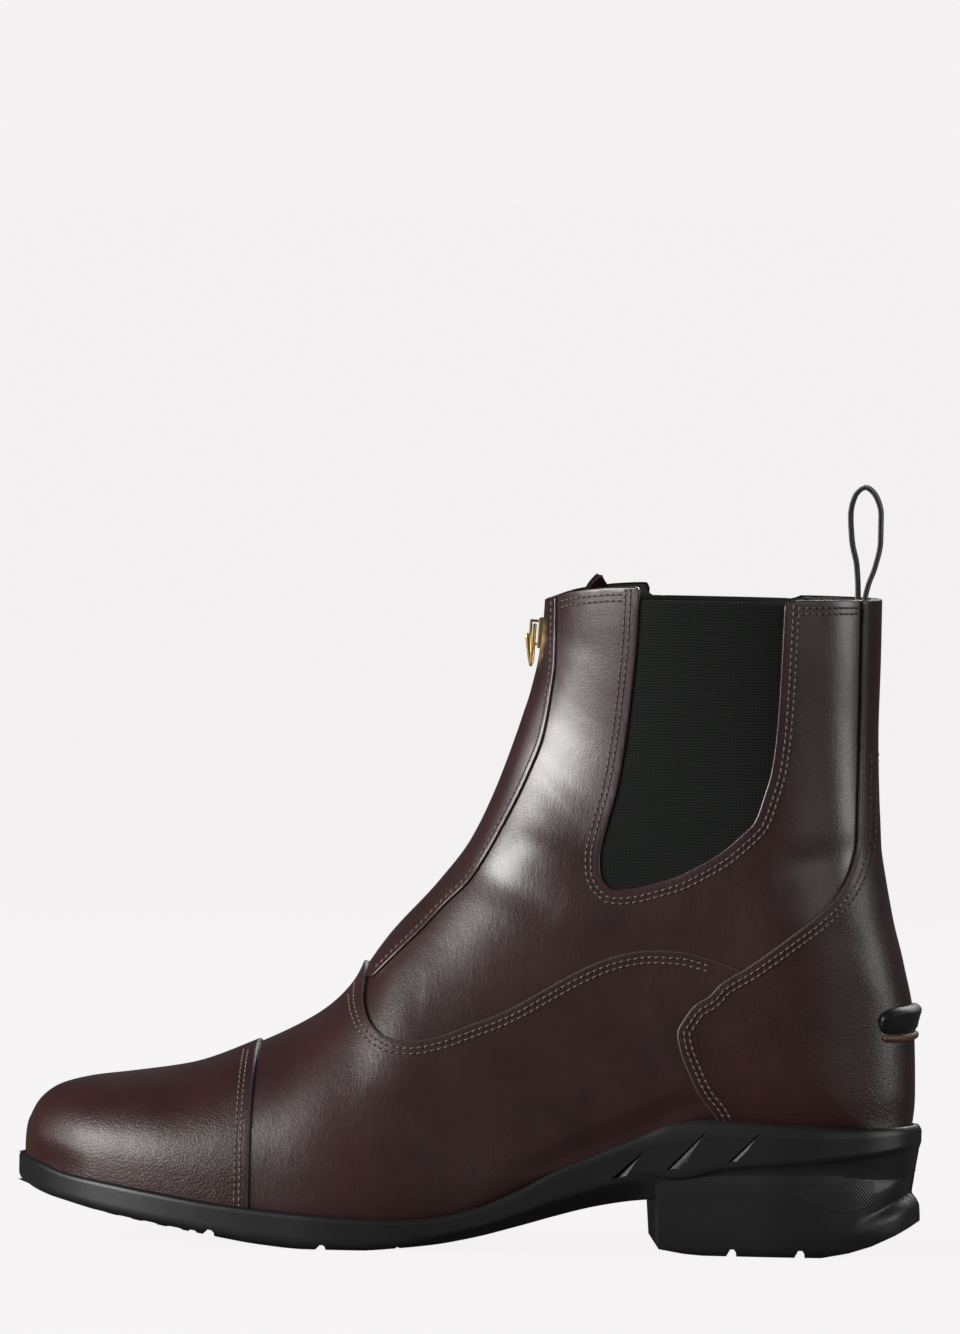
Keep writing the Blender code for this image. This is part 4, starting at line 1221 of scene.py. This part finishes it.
# Notches right through the tread and shallow scallops in its edge: along, width, depth
NOTCHES = [
    (0.224, 0.0042, 0.0018),
    (0.348, 0.0036, 0.0015),
    (0.797, 0.0036, 0.0022),
    (0.872, 0.0036, 0.0022),
    (0.102, 0.0060, 0.0003),
    (0.130, 0.0060, 0.0004),
    (0.158, 0.0060, 0.0005),
    (0.186, 0.0060, 0.0005),
    (0.206, 0.0030, 0.0007),
    (0.432, 0.0014, 0.0004),
]
SHANK_BLEND = (0.43, 0.55, 0.69, 0.73)
SEAT_BLEND = (0.66, 0.76)
BACK_BLEND = (0.90, 0.98)
BREAST_ALONG = 0.733
BREAST_SKEW = 0.0045
BREAST_LEAN = 0.006


def half_widths(shares):
    return [curve(OUTLINE, side, shares) * BALL_WIDTH for side in (1, 2)]


def outline_ring(shares):
    """The sole's outline from above, back along the inner side to its start."""
    outer, inner = half_widths(shares)
    xs = along_x(shares)
    return np.array(list(zip(xs, -outer)) + list(zip(xs, inner))[-2::-1])


def ring_shares(shares):
    return np.concatenate([shares, shares[-2::-1]])


def moved_in(points, inset):
    """Points of a closed outline from above, each moved inwards by its own inset."""
    open_ring = points[:-1]
    ahead = np.roll(open_ring, -1, axis=0) - np.roll(open_ring, 1, axis=0)
    inward = np.stack([-ahead[:, 1], ahead[:, 0]], axis=1)
    inward /= np.linalg.norm(inward, axis=1, keepdims=True)
    inward = np.vstack([inward, inward[:1]])
    return points + inward * inset[:, None]


def rows_between(table, count):
    """Heights packed closely round each row of a section, for crisp steps."""
    heights = column(table, 0)
    return np.unique(np.concatenate([heights, np.linspace(0, heights[-1], count)]))


def closed_stack(edge, rings):
    """A closed form of side rings, drawn in to the middle line above and below."""
    first, last = rings[0], rings[-1]
    middle = [np.column_stack([edge[:, 0], edge[:, 1] * 0, ring[:, 2]]) for ring in (first, last)]
    halfway = [(ring + centre) / 2 for ring, centre in zip((first, last), middle)]
    return grid_form(np.array([middle[0], halfway[0], *rings, halfway[1], middle[1]]))


def sole_unit():
    shares = (1 - np.cos(np.linspace(0, math.pi, 190))) / 2
    edge = outline_ring(shares)
    shares = ring_shares(shares)
    seat = smooth([0, *SEAT_BLEND, 1.001], [0, 0, 1, 1], shares)
    shank = smooth([0, *SHANK_BLEND, 1.001], [0, 0, 1, 1, 0, 0], shares)
    back = smooth([0, *BACK_BLEND, 1.001], [0, 0, 1, 1], shares)
    lip, tread = (curve(SIDE, i, shares) * HEEL_HEIGHT for i in (1, 2))
    ridge = curve(RIDGE, 1, np.clip(shares, 0.70, 1.0)) * HEEL_HEIGHT
    ridge = (ridge - tread) / (lip - tread)
    rings = []
    for height in rows_between(SIDE_SECTION, 30):
        fore, waist, side, rear = (curve(SIDE_SECTION, i, [height])[0] for i in (1, 2, 3, 4))
        front_inset = fore * (1 - shank) + waist * shank
        seat_inset = side * (1 - back) + rear * back
        inset = (front_inset * (1 - seat) + seat_inset * seat) * STEP_DEPTH
        under, over = height * ridge / 0.5, ridge + (height - 0.5) * (1 - ridge) / 0.5
        share = height + seat * ((under if height < 0.5 else over) - height)
        rings.append(np.column_stack([moved_in(edge, inset), tread + share * (lip - tread)]))
    return closed_stack(edge, rings)


def heel_block():
    front = BREAST_ALONG - 0.05
    shares = front + (1 - front) * np.sin(np.linspace(0, math.pi / 2, 90))
    edge = outline_ring(shares)
    shares = ring_shares(shares)
    back = smooth([0, *BACK_BLEND, 1.001], [0, 0, 1, 1], shares)
    valley = np.interp(shares, column(VALLEY, 0), column(VALLEY, 1))
    depth = smooth([0, 0.925, 0.95, 0.985, 1.001], [0, 0, 0.55, 1.0, 1.0], shares)
    rings = []
    for height in rows_between(HEEL_SECTION, 42):
        side, rear = (curve(HEEL_SECTION, i, [height])[0] for i in (1, 2))
        above = np.clip((height - valley) / 0.16, 0, 1)
        below = np.clip((valley - height) / 0.09, 0, 1)
        trough = depth * (1 - above) * (1 - below) ** 1.5
        inset = (side * (1 - back) + rear * back + TROUGH_DEPTH * trough) * STEP_DEPTH
        rings.append(np.column_stack([moved_in(edge, inset), np.full(len(edge), height * HEEL_HEIGHT)]))
    return closed_stack(edge, rings)


def breast_cutter():
    half = BALL_WIDTH / 2
    outer_x = along_x(BREAST_ALONG) + BREAST_SKEW * (FAR - half) / half
    inner_x = along_x(BREAST_ALONG) - BREAST_SKEW * (FAR + half) / half
    corners = [(outer_x, -FAR), (inner_x, FAR), (-FAR, FAR), (-FAR, -FAR)]
    return raised_form([(*corner, -HEEL_HEIGHT) for corner in corners], (-BREAST_LEAN, 0, 2 * HEEL_HEIGHT))


def slot_cutter(corners, side):
    """A wedge that cuts one tapered slot, deep along its first edge and running out at the last."""
    outer, inner = half_widths([corners[1][0]])
    face = (outer if side < 0 else inner)[0]
    depths = (SLOT_DEPTH, 0.7 * SLOT_DEPTH, -0.0004)
    bm = bmesh.new()
    base = [
        bm.verts.new((along_x(along), side * (face - depth), height * HEEL_HEIGHT))
        for (along, height), depth in zip(corners, depths)
    ]
    raised = bmesh.ops.extrude_face_region(bm, geom=[bm.faces.new(base)])["geom"]
    for vert in (item for item in raised if isinstance(item, bmesh.types.BMVert)):
        vert.co.y = side * FAR
    bmesh.ops.recalc_face_normals(bm, faces=bm.faces)
    return bm


def notch_cutter(along, width, depth):
    x = along_x(along)
    half = width / 2
    corners = [
        (-half, -0.004),
        (half, -0.004),
        (0.75 * half, 0.6 * depth),
        (0.4 * half, depth),
        (-0.5 * half, depth),
        (-0.9 * half, 0.5 * depth),
    ]
    runs = [along + run / SOLE_LENGTH for run, _ in corners]
    foot = curve(SIDE, 2, runs) * HEEL_HEIGHT * (along < BREAST_ALONG)
    return prism([(x + run, z + rise) for (run, rise), z in zip(corners, foot)])


def build_sole():
    heel_line = [(along_x(a), h * HEEL_HEIGHT) for a, h in HEEL_TREAD]
    under_heel = prism(heel_line + [(heel_line[-1][0], -FAR), (heel_line[0][0], -FAR)])
    heel = cut(heel_block(), ("DIFFERENCE", breast_cutter()), ("DIFFERENCE", under_heel))
    bed = cut(last_form(BED_GAP, False), ("INTERSECT", above_feather()))
    steps = [("UNION", heel), ("DIFFERENCE", bed)]
    steps += [("DIFFERENCE", notch_cutter(*notch)) for notch in NOTCHES]
    steps += [("DIFFERENCE", slot_cutter(corners, side)) for corners in SLOTS for side in (-1, 1)]
    bm = cut(sole_unit(), *steps)
    build_patches(bm)
    for face in bm.faces:
        face.material_index = 0
    bmesh.ops.remove_doubles(bm, verts=bm.verts, dist=WELD)
    piece = make_piece("rubber_sole", bm, [RUBBER])
    piece.data.set_sharp_from_angle(angle=CREST_ANGLE)
    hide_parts("outsole")


def build_patches(sole):
    """The finely ribbed patch on each side of the heel."""
    outline = [(along_x(a), h * HEEL_HEIGHT) for a, h in RIBBED_PATCH]
    line = rounded(outline + outline[:1], 60)[:-1]
    for name, side in SIDES.items():
        bm = cut(sole.copy(), ("INTERSECT", side_prism(line, side, PATCH_FROM)))
        open_skin(bm)
        bm.normal_update()
        for vert in bm.verts:
            vert.co += vert.normal * PATCH_RISE
        turn_edges(bm, PATCH_ROUND, 2 * PATCH_RISE, 0)
        for face in bm.faces:
            face.material_index = 0
        make_piece(f"ribbed_patch_{name}", bm, [RIBBED_RUBBER])


# Trim


def dorsal_path(low, high):
    """Places and normals up the middle of the front, between two shares of BOOT_HEIGHT."""
    points, normals = LAST_POINTS[POLE_ROWS:, 0], LAST_NORMALS[POLE_ROWS:, 0]
    heights = points[:, 2] / BOOT_HEIGHT
    chosen = (heights > low) & (heights < high)
    return points[chosen], normals[chosen]


TEETH_PITCH = 0.0021
TOOTH = (0.0012, 0.0030, 0.0016)
TOOTH_SIDE = 0.0009
BRASS_ROUND = 0.0003


def soften(bm):
    """Round every edge of a small brass form."""
    bmesh.ops.bevel(
        bm, geom=bm.edges[:], offset=BRASS_ROUND, segments=2, profile=0.5, affect="EDGES", material=-1
    )


def build_zip_teeth():
    """Interlocked brass teeth up the front, over the ribbon of the closed zip."""
    points, normals = dorsal_path(0.445, 0.90)
    laid = [(Vector(point), Vector(normal)) for point, normal in zip(points, normals)]
    places = spaced(laid, TEETH_PITCH)
    for name, offset, shift in (("near", -TOOTH_SIDE, 0.0), ("far", TOOTH_SIDE, TEETH_PITCH / 2)):
        form = bmesh.new()
        bmesh.ops.create_cube(form, size=1.0)
        bmesh.ops.scale(form, vec=TOOTH, verts=form.verts)
        bmesh.ops.translate(form, vec=(shift, offset, -0.0002), verts=form.verts)
        soften(form)
        repeated(f"zip_teeth_{name}", form, places, BRASS)


# Side view of the brass grip on the pull: along and up from the hinge
GRIP = [
    (-0.0027, -0.0027),
    (-0.0010, -0.0026),
    (-0.0004, -0.0080),
    (0.0003, -0.0125),
    (-0.0005, -0.0130),
    (-0.0012, -0.0110),
    (-0.0024, -0.0050),
]
GRIP_WIDTH = 0.0046
HINGE = Vector((0.01696, 0.0, 0.192375))
PULL_LEAN = 0.0537


def build_pull_grip():
    """The brass wedge that is gripped to run the slider."""
    bm = prism(GRIP, -GRIP_WIDTH / 2, GRIP_WIDTH / 2)
    soften(bm)
    bmesh.ops.rotate(bm, verts=bm.verts, matrix=Matrix.Rotation(PULL_LEAN, 3, "Y"))
    bmesh.ops.translate(bm, verts=bm.verts, vec=HINGE)
    make_piece("pull_grip", bm, [BRASS], body="pull")


# Guard: along, height, width as a share of GUARD_WIDTH and turn in degrees
GUARD = [
    (0.5440, 0.700, 0.80, 0),
    (0.5610, 0.770, 1.00, 0),
    (0.5775, 0.850, 1.00, 0),
    (0.5865, 0.910, 0.95, 0),
    (0.5980, 0.955, 0.80, 6),
    (0.6140, 0.990, 0.60, 18),
    (0.6235, 1.008, 0.48, 28),
    (0.6310, 1.030, 0.04, 32),
]
GUARD_WIDTH = 0.028
GUARD_BOW = 0.0075
GUARD_LEATHER = 0.0016
LOOP = [
    (0.9170, 0.930),
    (0.9170, 0.985),
    (0.9168, 1.010),
    (0.9150, 1.050),
    (0.9090, 1.090),
    (0.9070, 1.130),
    (0.9120, 1.160),
    (0.9230, 1.172),
    (0.9340, 1.160),
    (0.9405, 1.130),
    (0.9405, 1.090),
    (0.9350, 1.050),
    (0.9275, 1.020),
    (0.9238, 0.990),
    (0.9238, 0.930),
]
LOOP_WIDTH = 0.015
LOOP_WEBBING = 0.0015
SELVEDGE_FROM = 0.86
SELVEDGE_TO = 0.985


def strap(line, thickness, bow=0.0):
    """A strap along rows of (x, z, width, turn) with rounded edges, bowed back at its sides."""
    ahead = np.gradient(line[:, :2], axis=0)
    ahead /= np.linalg.norm(ahead, axis=1, keepdims=True)
    turns = np.linspace(0, 2 * math.pi, 29)
    spread = np.sign(np.cos(turns)) * np.abs(np.cos(turns)) ** 0.35
    lift = np.sign(np.sin(turns)) * np.abs(np.sin(turns)) ** 0.45
    rings = []
    for (x, z, width, turn), (run, rise) in zip(line, ahead):
        reach = spread * width / 2
        away = lift * thickness / 2
        bent = bow * (2 * reach / GUARD_WIDTH) ** 2
        xs = x + bent + reach * math.sin(turn) + away * rise
        rings.append(np.column_stack([xs, reach * math.cos(turn), z - away * run]))
    return grid_form(np.array(rings))


def build_guard():
    rows = [(along_x(a), h * BOOT_HEIGHT, w * GUARD_WIDTH, math.radians(t)) for a, h, w, t in GUARD]
    bm = strap(rounded(rows, 60), GUARD_LEATHER, GUARD_BOW)
    finish_skin(bm, "guard_leather", [SMOOTH_LEATHER], "smooth_leather", "zip_guard")


def build_loop():
    rows = [(x, z, LOOP_WIDTH, 0.0) for x, z in side_points(LOOP)]
    bm = strap(rounded(rows, 90), LOOP_WEBBING)
    for face in bm.faces:
        share = 2 * abs(face.calc_center_median().y) / LOOP_WIDTH
        face.material_index = int(SELVEDGE_FROM < share < SELVEDGE_TO)
    piece = make_piece("loop_webbing", bm, [WEBBING, SELVEDGE])
    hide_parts("pull_loop")


# Section of the spur rest: out from the leather and up from its middle
REST_SECTION = [
    (-0.0003, -0.0040),
    (0.0008, -0.0041),
    (0.0014, -0.0032),
    (0.0018, -0.0012),
    (0.0024, 0.0010),
    (0.0026, 0.0021),
    (0.0022, 0.0029),
    (0.0014, 0.0036),
    (0.0008, 0.0040),
    (-0.0003, 0.0040),
]
# Section of the leather lip under the spur rest
LIP_SECTION = [
    (-0.0004, -0.0012),
    (0.0006, -0.0013),
    (0.0012, -0.0009),
    (0.0014, 0.0000),
    (0.0011, 0.0008),
    (0.0005, 0.0011),
    (-0.0004, 0.0010),
]


def back_path(heights, reach, count=61):
    """Places and outward directions round the back of the heel at heights over its width."""
    laid = []
    for y in reach * np.sin(np.linspace(-math.pi / 2, math.pi / 2, count)):
        z = np.interp(abs(y), *heights)
        hit, normal, _, _ = SEAMS["counter"].ray_cast(Vector((FAR, y, z)), Vector((-1, 0, 0)))
        flat = Vector((normal.x, normal.y, 0)).normalized()
        laid.append((hit, flat))
    return laid


def swept_round_back(laid, section, end):
    """A section swept round the back, tapered to nothing within `end` of both of its ends."""
    rings = []
    for i, (spot, out) in enumerate(laid):
        share = min(i, len(laid) - 1 - i) / (len(laid) - 1)
        size = math.sin(min(share / end, 1.0) * math.pi / 2) ** 0.6 if share < end else 1.0
        size = max(size, 0.05)
        ring = [spot + out * (away * size) + Vector((0, 0, up * size)) for away, up in section]
        rings.append(ring + ring[:1])
    return grid_form(np.array(rings))


def build_spur_rest():
    middle = ([0.0, 0.016, 0.027], [0.0740, 0.0733, 0.0718])
    bm = swept_round_back(back_path(middle, 0.0215), REST_SECTION, 0.22)
    piece = make_piece("rubber_spur_rest", bm, [RUBBER])
    piece.data.set_sharp_from_angle(angle=CREST_ANGLE)
    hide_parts("spur_rest")
    under = ([0.0, 0.016, 0.027], [0.0684, 0.0678, 0.0680])
    bm = swept_round_back(back_path(under, 0.0210), LIP_SECTION, 0.15)
    make_piece("spur_rest_lip", bm, [LIP_EDGE])


# Camera, floor and lights

TARGET = Vector((0.00023, 0.0, 0.17903))
CAMERA_DISTANCE = 5.4
CAMERA_TURN = math.radians(3.0)
CAMERA_RISE = math.radians(1.75)
CAMERA_ROLL = math.radians(1.2)
SENSOR = 36.0
PICTURE_HEIGHT = 1334 * 0.00031


def build_camera():
    data = bpy.data.cameras.new("camera")
    camera = bpy.data.objects.new("camera", data)
    bpy.context.scene.collection.objects.link(camera)
    right = Vector((math.cos(CAMERA_TURN), math.sin(CAMERA_TURN), 0.0))
    level = Vector((right.y, -right.x, 0.0))
    back = level * math.cos(CAMERA_RISE) + Vector((0, 0, math.sin(CAMERA_RISE)))
    up = back.cross(right)
    rolled_right = right * math.cos(CAMERA_ROLL) + up * math.sin(CAMERA_ROLL)
    rolled_up = back.cross(rolled_right)
    matrix = Matrix((rolled_right, rolled_up, back)).transposed().to_4x4()
    matrix.translation = TARGET + back * CAMERA_DISTANCE
    camera.matrix_world = matrix
    data.sensor_fit = "VERTICAL"
    data.sensor_height = SENSOR
    data.lens = SENSOR * CAMERA_DISTANCE / PICTURE_HEIGHT
    data.clip_end = 200.0
    bpy.context.scene.camera = camera


PALE = (0.905, 0.888, 0.896)


FLOOR_RADIUS = 80.0
FLOOR_GLOW = 0.935
BOUNCE = 0.05


def build_floor():
    bm = bmesh.new()
    bmesh.ops.create_circle(bm, cap_ends=True, radius=FLOOR_RADIUS, segments=64)
    finish, tree, shader = new_finish("pale_floor")
    shader.inputs["Base Color"].default_value = (0.03, 0.03, 0.03, 1.0)
    shader.inputs["Roughness"].default_value = 0.9
    shader.inputs["Specular IOR Level"].default_value = 0.0
    shader.inputs["Emission Color"].default_value = (*PALE, 1.0)
    seen = tree.nodes.new("ShaderNodeLightPath").outputs["Is Camera Ray"]
    glow = maths(tree, "MULTIPLY_ADD", seen, FLOOR_GLOW, BOUNCE)
    tree.links.new(glow, shader.inputs["Emission Strength"])
    floor = make_piece("floor", bm, [finish], body=None)


# Soft boxes: place, aim, width and height, and power
LIGHTS = {
    "key": ((-1.70, -1.20, 0.75), (0.0, 0.0, 0.14), (1.5, 1.0), 88),
    "side": ((-2.15, -0.08, 0.76), (0.0, 0.0, 0.16), (0.8, 0.8), 4),
    "fill": ((1.50, -1.60, 0.55), (0.05, 0.0, 0.10), (1.2, 1.2), 5),
    "rim": ((2.1, -0.1, 0.5), (0.12, 0.0, 0.10), (0.8, 1.2), 16),
    "back": ((0.70, 1.75, 1.35), (0.0, 0.0, 0.10), (1.4, 1.0), 26),
}


def area_light(name, place, aim, size, power):
    data = bpy.data.lights.new(name, "AREA")
    data.shape = "RECTANGLE"
    data.size, data.size_y = size
    data.energy = power
    light = bpy.data.objects.new(name, data)
    bpy.context.scene.collection.objects.link(light)
    light.location = place
    toward = Vector(aim) - Vector(place)
    light.rotation_euler = toward.to_track_quat("-Z", "Y").to_euler()


def build_lights():
    world = bpy.data.worlds.new("studio")
    bpy.context.scene.world = world
    world.use_nodes = True
    tree = world.node_tree
    seen = tree.nodes.new("ShaderNodeLightPath").outputs["Is Camera Ray"]
    sky = mix(tree, seen, (BOUNCE, BOUNCE, BOUNCE), PALE)
    tree.links.new(sky, tree.nodes["Background"].inputs["Color"])
    for name, box in LIGHTS.items():
        area_light(name, *box)
    bpy.context.scene.view_settings.view_transform = "Standard"


NODE_FINISHES = {
    "insole": LINING,
    "zip_tape": WEBBING,
    "zip_teeth": BRASS,
    "zip_slider": BRASS,
    "zip_pull": BRASS,
}


def paint_nodes():
    for name, finish in NODE_FINISHES.items():
        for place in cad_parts[name].material_slots:
            place.material = finish


build_camera()
build_floor()
build_lights()
rough_trees()
plan_rows()
LAID_ROWS = lay_rows()
SEAM_SPOTS.extend(spot for _, places in LAID_ROWS for spot, _, _ in places)
build_quarters()
build_vamp()
build_toe_cap()
build_counter()
build_facings()
build_gores()
build_lining()
build_stitches(LAID_ROWS)
build_sole()
build_zip_teeth()
build_pull_grip()
build_guard()
build_loop()
build_spur_rest()
paint_nodes()
